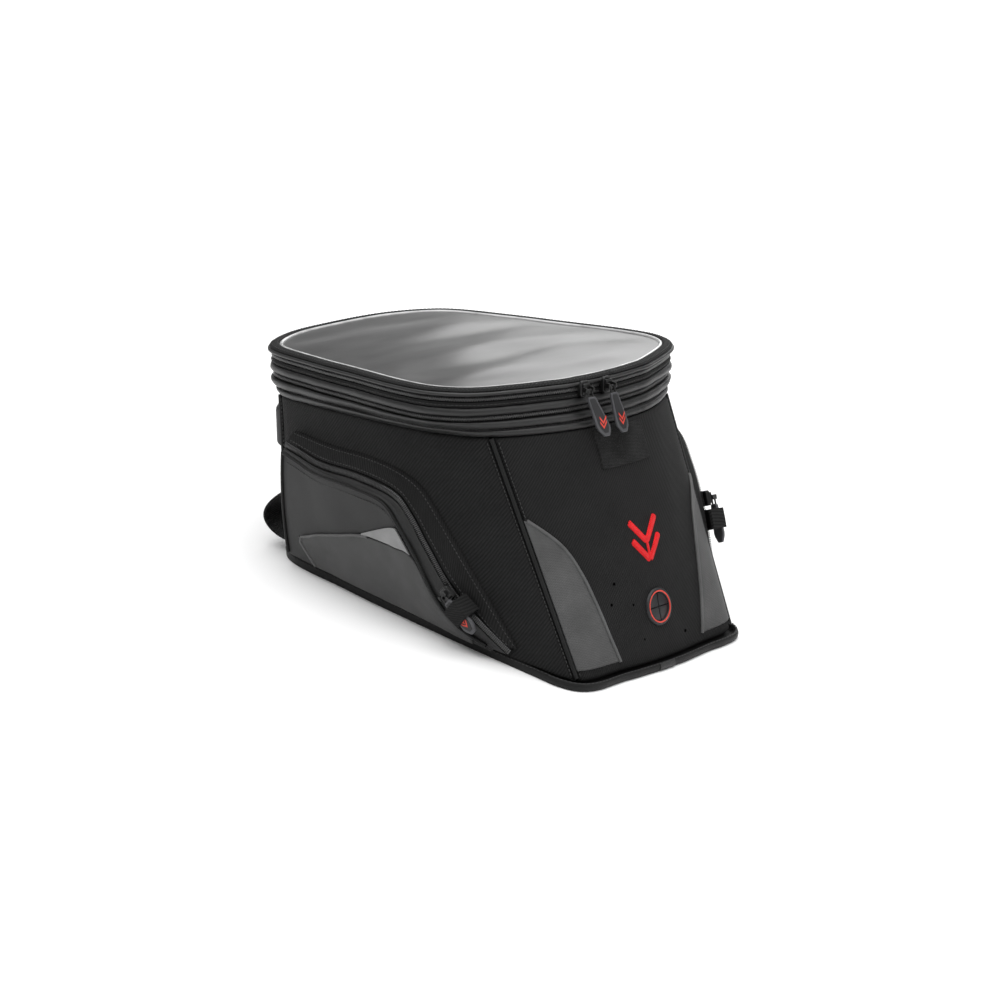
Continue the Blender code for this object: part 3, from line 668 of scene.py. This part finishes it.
def with_normals(at, values, out):
    """Points at(value, out) with the outward direction there."""
    return [(at(v, out), (at(v, out + 1) - at(v, out)).normalized()) for v in values]


def spread(low, high, count):
    """Evenly spaced values from low to high."""
    return [low + (high - low) * i / (count - 1) for i in range(count)]


def wobble_at(scale, amount, seed):
    """A ripple for padded_sheet: soft bumps of the given amount."""
    def ripple(s, t):
        return noise.noise(Vector((s * scale, t * scale * 0.6, seed))) * amount
    return ripple


# ---------------------------------------------------------------- body

def make_walls():
    room, foot, top = 0.027, 0.034, 0.991
    rear, front = LAST - REAR_SEAM, LAST - SEAM
    panels = {"front_panel": (-SEAM, SEAM), "right_side_panel": (SEAM, REAR_SEAM),
              "back_panel": (REAR_SEAM, rear), "left_side_panel": (rear, front)}
    for name, (low, high) in panels.items():
        def at(s, t, out, low=low + room, high=high - room):
            return wall_point(low + (high - low) * s, foot + (top - foot) * t, out)
        padded_sheet(name + "_cloth", at, (46, 30), (0.035, 0.02), -2.2, 3.0, TWILL, "bag_body",
                     [name], wobble_at(7.0, 0.7, len(name)))
    seams = {"right_front": SEAM, "right_rear": REAR_SEAM, "left_rear": rear, "left_front": front}
    lines = []
    for name, u in seams.items():
        points = [wall_point(u, v, 0.9) for v in spread(0.045, 0.985, 40)]
        cord_tube(name + "_piping_cord", points, 1.75, PIPING, "bag_body", [name + "_piping"])

        def tape(s, t, out, u=u):
            return wall_point(u - 0.1 + 0.2 * s, 0.04 + 0.945 * t, out)
        padded_sheet(name + "_seam_tape", tape, (9, 30), (0.05, 0), -3.6, 1.1, TAPE, "bag_body")
        for side in (-0.09, 0.09):
            def beside(v, out, w=u + side):
                return wall_point(w, v, out)
            lines.append(with_normals(beside, spread(0.06, 0.965, 50), 0.75))
    stitches("seam_stitches", lines, "bag_body")


def make_base():
    loop = smooth_loop(BASE_HALF)
    outward = [a - b for a, b in zip(loop, smooth_loop(BASE_HALF, 1.0))]

    def at(i, point):
        outset, z = point
        puff = noise.noise(Vector((loop[i].x * 0.07, loop[i].y * 0.07, 4))) * 0.35
        u = LAST * i / LOOP_COUNT
        side = min(u, LAST - u)
        tuck = max(0.0, min(1.0, (side - SEAM - 0.6) * 1.5, (REAR_SEAM + 0.6 - side) * 1.5))
        shown = outset - tuck * 0.8 * max(0.0, outset - 1.4)
        edge = loop[i] + outward[i] * (shown + (puff if outset > 2.5 else 0))
        return Vector((edge.x, edge.y, z))
    section = [(1.3, 0.0), (2.6, 0.0)]
    section += [(2.6 + 1.9 * math.sin(a), 3.5 - 3.5 * math.cos(a)) for a in spread(0.35, math.pi - 0.3, 9)]
    section += [(2.3, 6.9), (1.4, 5.6)]
    band("base_binding_roll", at, section, loop, PIPING, "bag_body", ["base_binding"])
    line = [(Vector((p.x, p.y, 6.6)), Vector((0, 0, 1))) for p in smooth_loop(BASE_HALF, -3.4)]
    stitches("binding_stitches", [line + line[:1]], "bag_body", pitch=3.6)

    # The short tail where the binding's ends overlap, at the middle of the front.
    verts = []
    for out, z in ((3.9, 0.6), (5.0, 2.2), (5.1, 4.4), (4.0, 6.8)):
        row = smooth_loop(BASE_HALF, -out)
        verts += [Vector((p.x, p.y, z)) for p in row[-3:] + row[:2]]
    verts += [p + Vector((0, 0.7, 0)) for p in verts]
    cloth = [(v.x, v.z) for v in verts]
    finish_piece("binding_tail", verts, shell_faces(4, 5), cloth, ROLL, "bag_body")


def make_front_inlays():
    last = len(INLAY_CURVE) - 1
    for side, sign in (("right", 1), ("left", -1)):
        def at(s, t, out, sign=sign):
            x, z = spline_point(INLAY_CURVE, s * last)
            u, v = front_uv(sign * (x + 1.0), z)
            return wall_point(u + (sign * (SEAM - 0.05) - u) * t, v, out)
        padded_sheet(f"{side}_front_inlay_cloth", at, (34, 10), (0.02, 0.03), 0.4, 1.5, GREY, "bag_body",
                     [f"{side}_front_inlay"], wobble_at(5, 0.3, 2))
        path = []
        for k in spread(0, last, 50):
            x, z = spline_point(INLAY_CURVE, k)
            path.append(wall_point(*front_uv(sign * x, z), 1.5))
        cord_tube(f"{side}_inlay_piping_cord", path, 1.5, GREY_ROLL, "bag_body",
                  [f"{side}_inlay_piping"])


def make_hook_patch():
    def patch(s, t, out):
        return wall_point(*front_uv(-28 + 56 * s, 145 + 27 * t), out)
    padded_sheet("hook_patch_pile", patch, (16, 10), (0.02, 0.04), 0.4, 2.1, HOOK, "bag_body",
                 ["hook_patch"], wobble_at(40, 0.5, 3))
    noise.seed_set(HOOK_SEED)
    hooks = []
    for row in range(24):
        for column in range(48):
            drift = noise.noise_vector(Vector((row * 1.7, column * 2.3, 0)))
            s, t = 0.03 + 0.94 * (column + drift.x) / 47, 0.05 + 0.9 * (row + drift.y) / 23
            if not (0.02 < s < 0.98 and 0.04 < t < 0.96):
                continue
            root = patch(s, t, 1.7)
            out = (patch(s, t, 2.7) - root).normalized()
            along = (Vector((1, 0, 0)) + drift * 0.8).normalized()
            lean = (out + drift * 0.7).normalized()
            hooks.append(box_corners(root, along, lean.cross(along).normalized(), lean, (0.45, 0.35, 1.1)))
    many_boxes("hook_patch_hooks", hooks, HOOK_PILE, "bag_body")
    lines = [with_normals(lambda s, out: patch(s, 0.06, out), spread(0.05, 0.95, 20), 1.9)]
    for s in (0.05, 0.95):
        lines.append(with_normals(lambda t, out, s=s: patch(s, t, out), spread(0.05, 0.9, 12), 1.9))
    stitches("patch_stitches", lines, "bag_body", pitch=2.8, size=(1.9, 0.5, 0.3))


def front_frame(x, z):
    u, v = front_uv(x, z)
    here = wall_point(u, v)
    return frame_at(here, Vector((1, 0, 0)), wall_point(u, v, 1) - here)


def frame_at(origin, x_axis, outward):
    x_axis = x_axis.normalized()
    y_axis = (outward - x_axis * outward.dot(x_axis)).normalized()
    z_axis = x_axis.cross(y_axis)
    return Matrix.Translation(origin) @ Matrix((x_axis, y_axis, z_axis)).transposed().to_4x4()


def satin_bar(verts, faces, cloth, start, end, width, at):
    """Adds a satin-stitched bar from start to end, with a rounded back."""
    a, b = Vector(start), Vector(end)
    along = (b - a).normalized()
    across = Vector((-along.y, along.x))
    steps, sides = 14, 7
    faces += tube_faces(steps + 1, sides, start=len(verts))
    for i in range(steps + 1):
        f = i / steps
        taper = min(1.0, 7 * f + 0.7, 7 * (1 - f) + 0.7)
        for k in range(sides):
            g = k / (sides - 1) * 2 - 1
            p = a.lerp(b, f) + across * g * width / 2 * taper
            verts.append(at(p.x, p.y, 0.7 + 1.3 * math.sqrt(max(0, 1 - g * g))))
            cloth.append((p.x, p.y))


def make_emblem():
    """Two plain nested chevrons on a short bar, in satin stitch."""
    def at(x, z, out):
        return wall_point(*front_uv(x, z), out)
    verts, faces, cloth = [], [], []
    for lift in (0, 13):
        tip = EMBLEM_Z - 14 + lift
        for side in (-1, 1):
            satin_bar(verts, faces, cloth, (side * 0.3, tip), (side * 15.5, tip + 15.5), 5.6, at)
    satin_bar(verts, faces, cloth, (0, EMBLEM_Z - 13), (0, EMBLEM_Z + 3), 3.0, at)
    finish_piece("emblem_embroidery", verts, faces, cloth, RED, "bag_body", ["emblem"])


def lathe(name, profile, matrix, look, replaced=(), sides=64):
    """A turned piece: profile points are (radius, height along the matrix's Y)."""
    verts = []
    for k in range(sides):
        angle = 2 * math.pi * k / sides
        for radius, height in profile:
            verts.append(matrix @ Vector((radius * math.cos(angle), height, radius * math.sin(angle))))
    cloth = [(v.x, v.z) for v in verts]
    faces = tube_faces(sides, len(profile), closed=True)
    return finish_piece(name, verts, faces, cloth, look, "bag_body", replaced)


def make_port():
    matrix = front_frame(0, PORT_Z)
    rim = [(11.0, 0.4), (11.0, 1.5), (11.6, 2.2), (12.6, 2.5), (13.8, 2.3), (14.6, 1.5), (14.7, 0.4)]
    lathe("port_grommet_rim", rim, matrix, DARK_RUBBER, ["port_grommet"])
    red = [(11.5, 2.0), (11.5, 2.55), (11.8, 2.8), (12.3, 2.8), (12.6, 2.55), (12.6, 2.2)]
    lathe("port_red_ring", red, matrix, RED_PRINT)
    petal = [(0.35, 0.35)]
    petal += [(10.75 * math.cos(a), 10.75 * math.sin(a)) for a in spread(0.035, math.pi / 2 - 0.035, 12)]
    verts, faces = [], []
    for quarter in range(4):
        faces += tube_faces(3, len(petal), start=len(verts))
        turned = matrix @ Matrix.Rotation(-quarter * math.pi / 2, 4, "Y")
        for lift, shrink in ((0.3, 0), (1.3, 0), (1.6, 0.07)):
            for point in petal:
                x, z = (c * (1 - shrink) + 3.5 * shrink for c in point)
                dish = 0.5 * (1 - (x * x + z * z) / 120)
                verts.append(turned @ Vector((x, lift - dish, z)))
    finish_piece("port_membrane_petals", verts, faces, None, DARK_RUBBER, "bag_body",
                 ["port_membrane"])
    # The punched holes are small black discs standing on the wall: painted shade in place of real openings.
    painted_hole_shade = [(0.05, 0.6), (0.05, 1.15), (0.85, 1.1), (1.15, 0.9), (1.2, 0.6)]
    for k, (x, z) in enumerate(PUNCHED_HOLES):
        lathe(f"punched_hole_{k + 1}", painted_hole_shade, front_frame(x, z), PAINTED_HOLE_SHADE, sides=14)


# ---------------------------------------------------------------- top bands

def ring_teeth(name, heights, inset, upper, body):
    """Coil teeth that stand across the zip, every other one left for the other half."""
    low, high = heights
    path = [band_point(i, 1.0, inset, (low + high) / 2) for i in range(LOOP_COUNT + 1)]
    up = deck(0, 0, 1)
    boxes = []
    for k, (spot, along) in enumerate(resample(path, 0.95)):
        if k % 2 == upper:
            out = along.cross(up).normalized()
            boxes.append(box_corners(spot, along, up, out, (1.0, high - low, 1.15)))
    many_boxes(name, boxes, TEETH, body)


def ring_stitches(name, h, inset, body, share=1.0):
    up = deck(0, 0, 1)
    line = []
    for i in range(LOOP_COUNT + 1):
        here = band_point(i, share, inset, h)
        along = (band_point(i + 1, share, inset, h) - here).normalized()
        line.append((here, along.cross(up).normalized()))
    stitches(name, [line], body, pitch=3.3, size=(2.2, 0.55, 0.35))


def make_top():
    low, groove, high = TOP_ROLLS
    ring("body_top_lower_roll", roll_section(low, groove - 0.3, 6.0, 1.2, 2.3, 0.0, 0.45), ROLL, "bag_body",
         ["body_top_band"], 0.8, 1)
    ring("body_top_upper_roll", roll_section(groove + 0.2, high, BAND_INNER, 3.4, 2.6, 0.55, 1.0), ROLL,
         "bag_body", (), 0.9, 2)
    ring_stitches("top_roll_stitches", groove + 0.1, 1.7, "bag_body", 0.5)
    for name, (body, (low, high), teeth, tape_in, teeth_in) in ZIP_HALVES.items():
        section = [(1, BAND_INNER, low), (1, tape_in, low), (1, tape_in - 0.25, (low + high) / 2),
                   (1, tape_in, high), (1, BAND_INNER, high)]
        ring(name.format("tape"), section, TAPE, body, [name.format("zip")])
        ring_teeth(name.format("teeth"), teeth, teeth_in, name.endswith("upper"), body)
    ring("collar_roll", roll_section(*COLLAR_ROLL, BAND_INNER, 4.6, 2.6), ROLL, "collar",
         ["collar_band"], 0.9, 3)
    section = [(1, BAND_INNER, 208.6), (1, 3.9, 208.6), (1, 3.1, 209.4), (1, 3.0, 211.0), (1, 3.8, 212.6),
               (1, BAND_INNER, 212.6)]
    ring("collar_tape", section, TAPE, "collar", (), 0.3, 4)
    ring_stitches("collar_stitches", 210.6, 3.1, "collar")
    ring("lid_edge_roll", roll_section(*LID_ROLL, BAND_INNER, 2.6, 2.4), ROLL, "lid",
         ["lid_binding"], 0.4, 5)
    section = [(1, BAND_INNER, LID_TOP), (1, 2.4, LID_TOP), (1, 1.7, 221.4), (1, 2.2, 222.1), (1, 4.2, 223.0),
               (1, 7.6, 223.5), (1, 9.2, 223.2), (1, 9.5, 222.4)]
    ring("lid_edge_cloth", section, TWILL, "lid", (), 0.3, 6)
    ring_stitches("lid_edge_stitches", 222.9, 3.9, "lid")
    # The weld bead round the window, pale partly for a painted highlight along its edge.
    section = [(1, 9.7, 221.1), (1, 9.7, 222.5), (1, 10.6, 223.2), (1, 11.8, 223.1), (1, 12.6, 222.3),
               (1, 12.6, 221.1)]
    ring("window_weld", section, WELD_AND_HIGHLIGHT, "lid")


def make_expansion_gusset():
    """The pleated cloth behind the expansion zip, which on the real bag stretches as the collar rises."""
    low, high = GUSSET
    section = []
    for share in spread(0, 1, 37):
        pleat = 0.9 * (1 - math.cos(6 * math.pi * share))
        section.append((1, 10.4 + pleat, low + (high - low) * share))
    section += [(1, inset + 1.0, h) for _, inset, h in reversed(section)]
    cloth = ring("expansion_gusset_cloth", section, SMOOTH, None, ["expansion_gusset"],
                 0.5, 7)
    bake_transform(cloth)


def make_window():
    """The soft window: crowned, with broad shallow folds that run across it."""
    steps = 26
    centre = Vector((0, 190))
    edge = [LID_LOOP[i] + LID_INWARD[i] * 12.3 for i in range(0, LOOP_COUNT, 2)]
    verts, cloth = [], []
    for layer, r in [(0, r) for r in range(steps, -1, -1)] + [(0.9, r) for r in range(steps + 1)]:
        f = 1 - r / steps * 0.97
        for point in edge:
            p = centre.lerp(point, f)
            crown = 1 - f * f
            fold = math.sin(p.y * 0.075 + p.x * 0.012 + 1.3 * noise.noise(Vector((p.x, p.y, 0)) * 0.014))
            fine = noise.noise(Vector((p.x * 0.012, p.y * 0.03, 5.0)))
            lift = 3.2 * crown + (0.75 * fold + 1.3 * fine) * min(1.0, 3 * crown)
            verts.append(deck(p.x, p.y, LID_TOP + layer + lift))
            cloth.append((p.x, p.y))
    faces = tube_faces(2 * (steps + 1), len(edge))
    finish_piece("window_sheet", verts, faces, cloth, VINYL, "lid", ["map_window"])


# ---------------------------------------------------------------- sliders and pullers

def arc_frame(arc, turn, way, inset, h):
    """A slider's frame on the front arc (way -1) or the back arc (way 1), its Y pointing out."""
    angle = math.radians(turn)
    sin, cos = math.sin(angle), way * math.cos(angle)
    radius = arc[0] - inset + 0.9
    return frame_at(deck(radius * sin, arc[1] + radius * cos, h), deck(cos, -sin, 0), deck(sin, cos, 0))


def swell_at(pocket, t):
    """How far the pocket swells off the wall at a place along it."""
    return spline_point([(s,) for s in pocket["swell"]], t)[0] * POCKET_DEPTH


def pocket_slider_frame(pocket, sign):
    at = pocket["slider"]
    here, below = pocket["zip"][at], pocket["zip"][at - 1]
    start = side_point(sign, here[0], here[1], 5.3 + swell_at(pocket, at) * 0.72)
    foot = side_point(sign, below[0], below[1], 5.3 + swell_at(pocket, at - 1) * 0.72)
    up = (start - foot).normalized()
    off_wall = side_point(sign, here[0], here[1], 30) - side_point(sign, here[0], here[1], 20)
    outward = (off_wall - up * off_wall.dot(up)).normalized()
    return frame_at(start, outward.cross(up), outward)


def bevelled(obj, width, segments=3):
    """Rounds a piece's sharp edges."""
    step = obj.modifiers.new("bevel", "BEVEL")
    step.width = width * MM
    step.segments = segments
    step.limit_method = "ANGLE"
    step.angle_limit = math.radians(30)


def prism(name, outline_points, y_low, y_high, matrix, look, body, replaced=(), taper=1.0):
    """An outline in the matrix's XZ plane, thick along its Y."""
    verts = [matrix @ Vector((x, y_low, z)) for x, z in outline_points]
    verts += [matrix @ Vector((x * taper, y_high, z)) for x, z in outline_points]
    return finish_piece(name, verts, tube_faces(2, len(outline_points)), None, look, body, replaced)


def make_slider(name, matrix):
    """A die-cast slider: waisted plate, saddle, and two lugs that hold the puller's pin."""
    plate = [(-3.6, -6.2), (3.6, -6.2), (4.7, -3.8), (4.3, 0.5), (4.9, 4.2), (3.4, 6.2), (-3.4, 6.2),
             (-4.9, 4.2), (-4.3, 0.5), (-4.7, -3.8)]
    saddle = [(-3.9, -4.4), (3.9, -4.4), (3.6, 4.4), (-3.6, 4.4)]
    parts = [("plate", plate, 0.8, 5.0, 0.86, 0.7), ("saddle", saddle, 4.6, 7.0, 0.9, 0.6)]
    for end, x in (("l", -3.6), ("r", 3.6)):
        lug = [(x - 0.8, -2.0), (x + 0.8, -2.0), (x + 0.8, 2.0), (x - 0.8, 2.0)]
        parts.append((f"lug_{end}", lug, 6.6, 11.0, 1.0, 0.5))
    for part, shape, low, high, taper, edge in parts:
        replaced = [name] if part == "plate" else ()
        made = prism(f"{name}_{part}", shape, low, high, matrix, METAL, name, replaced, taper)
        bevelled(made, edge)


def make_puller(name, matrix, body, lean=0, slant=0):
    """A wire bail through a tapered rubber grip with a raised edge and two small printed chevrons."""
    pivot = matrix @ Matrix.Translation((0, PIN_OUT, 0)) @ Matrix.Rotation(math.radians(lean), 4, "X")

    def drift(z):
        return slant * min(0.0, z + 3.8)
    bail = [(-0.9, 0), (0.9, 0), (1.9, -0.3), (2.0, -2.2), (2.1 + drift(-6), -6), (1.4 + drift(-9), -9.5),
            (-1.4 + drift(-9), -9.5), (-2.1 + drift(-6), -6), (-2.0, -2.2), (-1.9, -0.3)]
    wire = []
    for i in range(len(bail)):
        four = [bail[(i + k) % len(bail)] for k in (-1, 0, 1, 2)]
        for f in (0, 0.25, 0.5, 0.75):
            x, z = spline_point(four, 1 + f)
            wire.append(pivot @ Vector((x, 0, z)))
    cord_tube(name + "_bail", wire, 0.75, METAL, body, closed=True)
    half = [(2.9, -5.4), (3.9, -6.6), (5.2, -17), (6.5, -29.2), (5.6, -32.5), (2.6, -37)]
    shape = half + [(-x, z) for x, z in reversed(half)]
    outer = [(x + drift(z), z) for x, z in shape]
    bevelled(prism(name + "_grip", outer, -1.4, 1.1, pivot, RUBBER, body, [name]), 0.7)
    inner = [(x * 0.74 + drift(z), -6.9 + (z + 5.4) * 0.87) for x, z in shape]
    bevelled(prism(name + "_face", inner, 0.9, 1.4, pivot, DARK_RUBBER, body, (), 0.94), 0.2, 2)
    for mark, lift in (("a", 0), ("b", 3.6)):
        chevron = [(0, -31), (3.2, -26.6), (3.2, -24.8), (0, -29.2), (-3.2, -24.8), (-3.2, -26.6)]
        shifted = [(x + drift(-28), z + lift) for x, z in chevron]
        prism(f"{name}_mark_{mark}", shifted, 1.3, 1.65, pivot, RED_PRINT, body)


def make_sliders():
    for side, (turn, slant) in MAIN_SLIDERS.items():
        matrix = arc_frame(FRONT_ARC, turn, -1, 4.6, MAIN_ZIP_H)
        make_slider(f"{side}_main_slider", matrix)
        make_puller(f"{side}_main_puller", matrix, f"{side}_main_puller", 12, slant)
    matrix = arc_frame(BACK_ARC, EXPANSION_SLIDER, 1, 6.2, EXPANSION_ZIP_H)
    make_slider("expansion_slider", matrix)
    make_puller("expansion_puller", matrix, "expansion_puller")
    for side, sign in (("right", 1), ("left", -1)):
        matrix = pocket_slider_frame(POCKETS[side], sign)
        make_slider(f"{side}_pocket_slider", matrix)
        make_puller(f"{side}_pocket_puller", matrix, f"{side}_pocket_slider")
        make_garage(side, matrix)


def make_garage(side, matrix):
    """A fabric bridge that the parked puller slips under, on its bed."""
    inner, outer = [], []
    for g in spread(-1, 1, 17):
        x = 9.4 * g
        y = 12.9 - 14.2 * (max(0.0, abs(g) - 0.7) / 0.3) ** 2
        outer.append((x + 0.7 * g, y + 0.3))
        inner.append((x * 0.93, y - 0.9))
    section = outer + inner[::-1]
    z_values = spread(-25.4, -9.4, 9)
    verts, cloth = [], []
    for z in z_values:
        pinch = 0.1 * math.cos((z + 17.4) / 8 * math.pi)
        verts += [matrix @ Vector((x, y + pinch, z)) for x, y in section]
        cloth += [(x, z) for x, _ in section]
    body = f"{side}_pocket"
    faces = tube_faces(len(z_values), len(section))
    finish_piece(f"{side}_garage_cloth", verts, faces, cloth, TWILL, body, [f"{side}_puller_garage"])
    bed = [(-7.2, -25.6), (7.2, -25.6), (7.2, -9.2), (-7.2, -9.2)]
    bevelled(prism(f"{side}_garage_bed", bed, -1.6, 7.9, matrix, PIPING, body, (), 0.97), 1.2)


# ---------------------------------------------------------------- side pockets

def pocket_point(pocket, sign, t, w, lift):
    """A point of the pocket's door: t along it, w up it to the edge (1) and over to the zip (2)."""
    swell = swell_at(pocket, t)
    foot = spline_point(pocket["foot"], t)
    edge = spline_point(pocket["edge"], t)
    zipper = spline_point(pocket["zip"], t)
    rise = min(w, 1.0)
    y = foot[0] + (edge[0] - foot[0]) * rise
    z = foot[1] + (edge[1] - foot[1]) * rise
    out = 2.6 + swell * math.sin(rise * math.pi / 2) ** 0.85
    if w > 1:
        over = (w - 1) ** 1.3
        y += (zipper[0] - y) * over
        z += (zipper[1] - 3.2 - z) * over
        out += (2.6 + swell * 0.72 - out) * over
    return side_point(sign, y, z, out + lift)


def spline_value(points, at):
    """The height at a place along (place, height) points, straight between them."""
    for (a, low), (b, high) in zip(points, points[1:]):
        if at <= b:
            share = max(0.0, at - a) / (b - a)
            return low + (high - low) * share
    return points[-1][1]


def make_pocket(side, sign):
    pocket = POCKETS[side]
    body = f"{side}_pocket"
    last = len(pocket["zip"]) - 1

    def door(s, t, out):
        return pocket_point(pocket, sign, 0.02 + s * (last - 0.02), t * 2, out)
    padded_sheet(f"{side}_pocket_shell", door, (60, 26), (0.012, 0.012), 0.0, 2.5, SMOOTH, body,
                 [f"{side}_pocket_door"], wobble_at(9, 0.9, 11))

    def gusset(s, t, out):
        at = s * last
        swell = swell_at(pocket, at)
        zipper, outer = spline_point(pocket["zip"], at), spline_point(pocket["outer"], at)
        bow = math.sin(math.pi * t) * 0.6
        y = zipper[0] + (outer[0] - zipper[0]) * t
        z = zipper[1] + 2.9 + (outer[1] + 2 - zipper[1] - 2.9) * t
        return side_point(sign, y, z, 0.6 + swell * 0.62 * (1 - t) ** 1.1 + 1.5 * (1 - t) + bow + out)
    padded_sheet(f"{side}_gusset_cloth", gusset, (60, 12), (0.01, 0.08), 0.0, 2.1, TWILL, "bag_body",
                 [f"{side}_pocket_gusset"], wobble_at(12, 0.4, 13))

    def tape(s, t, out):
        at = s * last
        zipper = spline_point(pocket["zip"], at)
        off_wall = 2.9 + swell_at(pocket, at) * (0.74 - 0.06 * t)
        return side_point(sign, zipper[0], zipper[1] - 2.9 + 5.4 * t, off_wall + out)
    padded_sheet(f"{side}_pocket_tape", tape, (60, 5), (0, 0), 0.0, 1.0, TAPE, body,
                 [f"{side}_pocket_zip"])
    teeth = []
    out = Vector((sign, 0, 0))
    for spot, along in resample([tape(s, 0.5, 1.0) for s in spread(0.0, 1.0, 120)], 1.5):
        teeth.append(box_corners(spot, along, out.cross(along).normalized(), out, (0.95, 4.6, 1.25)))
    many_boxes(f"{side}_pocket_teeth", teeth, TEETH, body)
    cord = [pocket_point(pocket, sign, t, 1.0, 3.6) for t in spread(0.25, last - 0.1, 90)]
    cord_tube(f"{side}_pocket_piping_cord", cord, 1.35, PIPING, body, [f"{side}_pocket_piping"])

    def below_edge(t, out):
        return pocket_point(pocket, sign, t, 0.93, out)
    stitches(f"{side}_door_stitches", [with_normals(below_edge, spread(0.9, last - 0.2, 90), 2.5)], body)
    rim = []
    for t, lift in ((0.86, 1.9), (0.2, 2.0)):
        rim.append(with_normals(lambda s, out, t=t: gusset(s, t, out), spread(0.03, 0.985, 110), lift))
    stitches(f"{side}_gusset_stitches", rim, "bag_body")
    make_inlay(side, sign, pocket, body)

    def end_wall(s, t, out):
        near = pocket_point(pocket, sign, last - 0.03 - 0.004 * out, 0.02 + 1.5 * s, 1.2)
        root = side_point(sign, near.y, near.z, 1.0)
        return near.lerp(root, t) + Vector((0, out * 0.9, 0))
    padded_sheet(f"{side}_pocket_end", end_wall, (24, 6), (0.02, 0.02), -0.8, 1.6, SMOOTH, body)
    rear = [pocket_point(pocket, sign, last - 0.06, w, 2.9) for w in spread(0.03, 1.0, 24)]
    cord_tube(f"{side}_pocket_end_cord", rear, 1.35, PIPING, body)


def make_inlay(side, sign, pocket, body):
    """The rubberised lower panel with its rolled upper edge, and the reflective flash above it."""
    first, last = POCKET_INLAY[0][0], POCKET_INLAY[-1][0]

    def height(t):
        return sum(spline_value(POCKET_INLAY, t + shift) for shift in (-0.3, -0.15, 0, 0.15, 0.3)) / 5

    def at(s, t, out):
        along = first + s * (last - first)
        lean = 0.4 * s ** 8 * (1 - t)
        return pocket_point(pocket, sign, along - lean, 0.02 + (height(along) - 0.02) * t, out)
    padded_sheet(f"{side}_inlay_cloth", at, (72, 12), (0.01, 0.03), 2.9, 1.2, POCKET_GREY, body,
                 [f"{side}_pocket_inlay"], wobble_at(9, 0.4, 21))
    edge = [at(s, 1.0, 3.7) for s in spread(0.7, 0.985, 50)]
    edge += [at(0.985 + 0.015 * f, 1.0 - 0.16 * f, 3.7) for f in spread(0.3, 1.0, 4)]
    edge += [at(1.0, t, 3.7) for t in spread(0.75, 0.03, 12)]
    cord_tube(f"{side}_inlay_edge", edge, 1.2, GREY_ROLL, body)
    a, c, b = (Vector(corner) for corner in POCKET_FLASH)

    def flash(s, t, out):
        low = a.lerp(b, s)
        low.y = height(low.x) + 0.012
        high = a.lerp(c, s / 0.7) if s < 0.7 else c.lerp(b, (s - 0.7) / 0.3)
        point = low.lerp(high, t)
        return pocket_point(pocket, sign, point.x, point.y, out)
    padded_sheet(f"{side}_reflective_flash", flash, (21, 8), (0.0, 0.0), 3.2, 1.3, REFLECTIVE, body)


# ---------------------------------------------------------------- back

def back_point(x, z, out):
    u = back_u(x)
    return wall_point(u, z / wall_point(u, 1).z, out)


def make_back():
    def handle(s, t, out):
        bow = min(1.0, math.sqrt(max(0.0, math.sin(s * math.pi))) * 1.1)
        return back_point(86 - 172 * s, 88 + 32 * t, 0.5 + 17 * bow + out)
    padded_sheet("carry_handle_grip", handle, (44, 12), (0.02, 0.12), 0.0, 4.0, DARK_RUBBER, "bag_body",
                 ["carry_handle"], wobble_at(3, 0.2, 31))
    lines = []
    for t in (0.13, 0.87):
        lines.append(with_normals(lambda s, out, t=t: handle(s, t, out), spread(0.03, 0.97, 60), 3.6))
    stitches("handle_stitches", lines, "bag_body")
    for side, sign in (("right", 1), ("left", -1)):
        def loop(s, t, out, sign=sign):
            bow = math.sin(s * math.pi) ** 0.7 if 0 < s < 1 else 0.0
            return back_point(sign * (64 + 22 * t), 10 + 40 * s, 1.0 + 19 * bow + out)
        padded_sheet(f"{side}_rear_webbing", loop, (30, 8), (0.02, 0.06), 0.0, 2.0, WEBBING, "bag_body",
                     [f"{side}_rear_loop"])


# ---------------------------------------------------------------- carried-over CAD pieces

def dress_cad():
    looks = {"base_board": BOARD, "bottom_panel": BOARD, "front_stiffener": BOARD, "lid_frame": BOARD,
             "tank_ring_adapter": DARK_RUBBER, "ring_screw_front": STEEL, "ring_screw_rear": STEEL,
             "lid_panel": SMOOTH, "lid_hinge_tape": TAPE}
    for name, look in looks.items():
        materials = bpy.data.objects[name].data.materials
        materials.clear()
        materials.append(look)


make_camera()
make_studio()
make_base()
make_walls()
make_front_inlays()
make_hook_patch()
make_emblem()
make_port()
make_top()
make_expansion_gusset()
make_window()
make_sliders()
for pocket_side, pocket_sign in (("right", 1), ("left", -1)):
    make_pocket(pocket_side, pocket_sign)
make_back()
dress_cad()

seen_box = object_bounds()
[[list(map(float, corner)) for corner in box] for box in (cad_box, seen_box)]
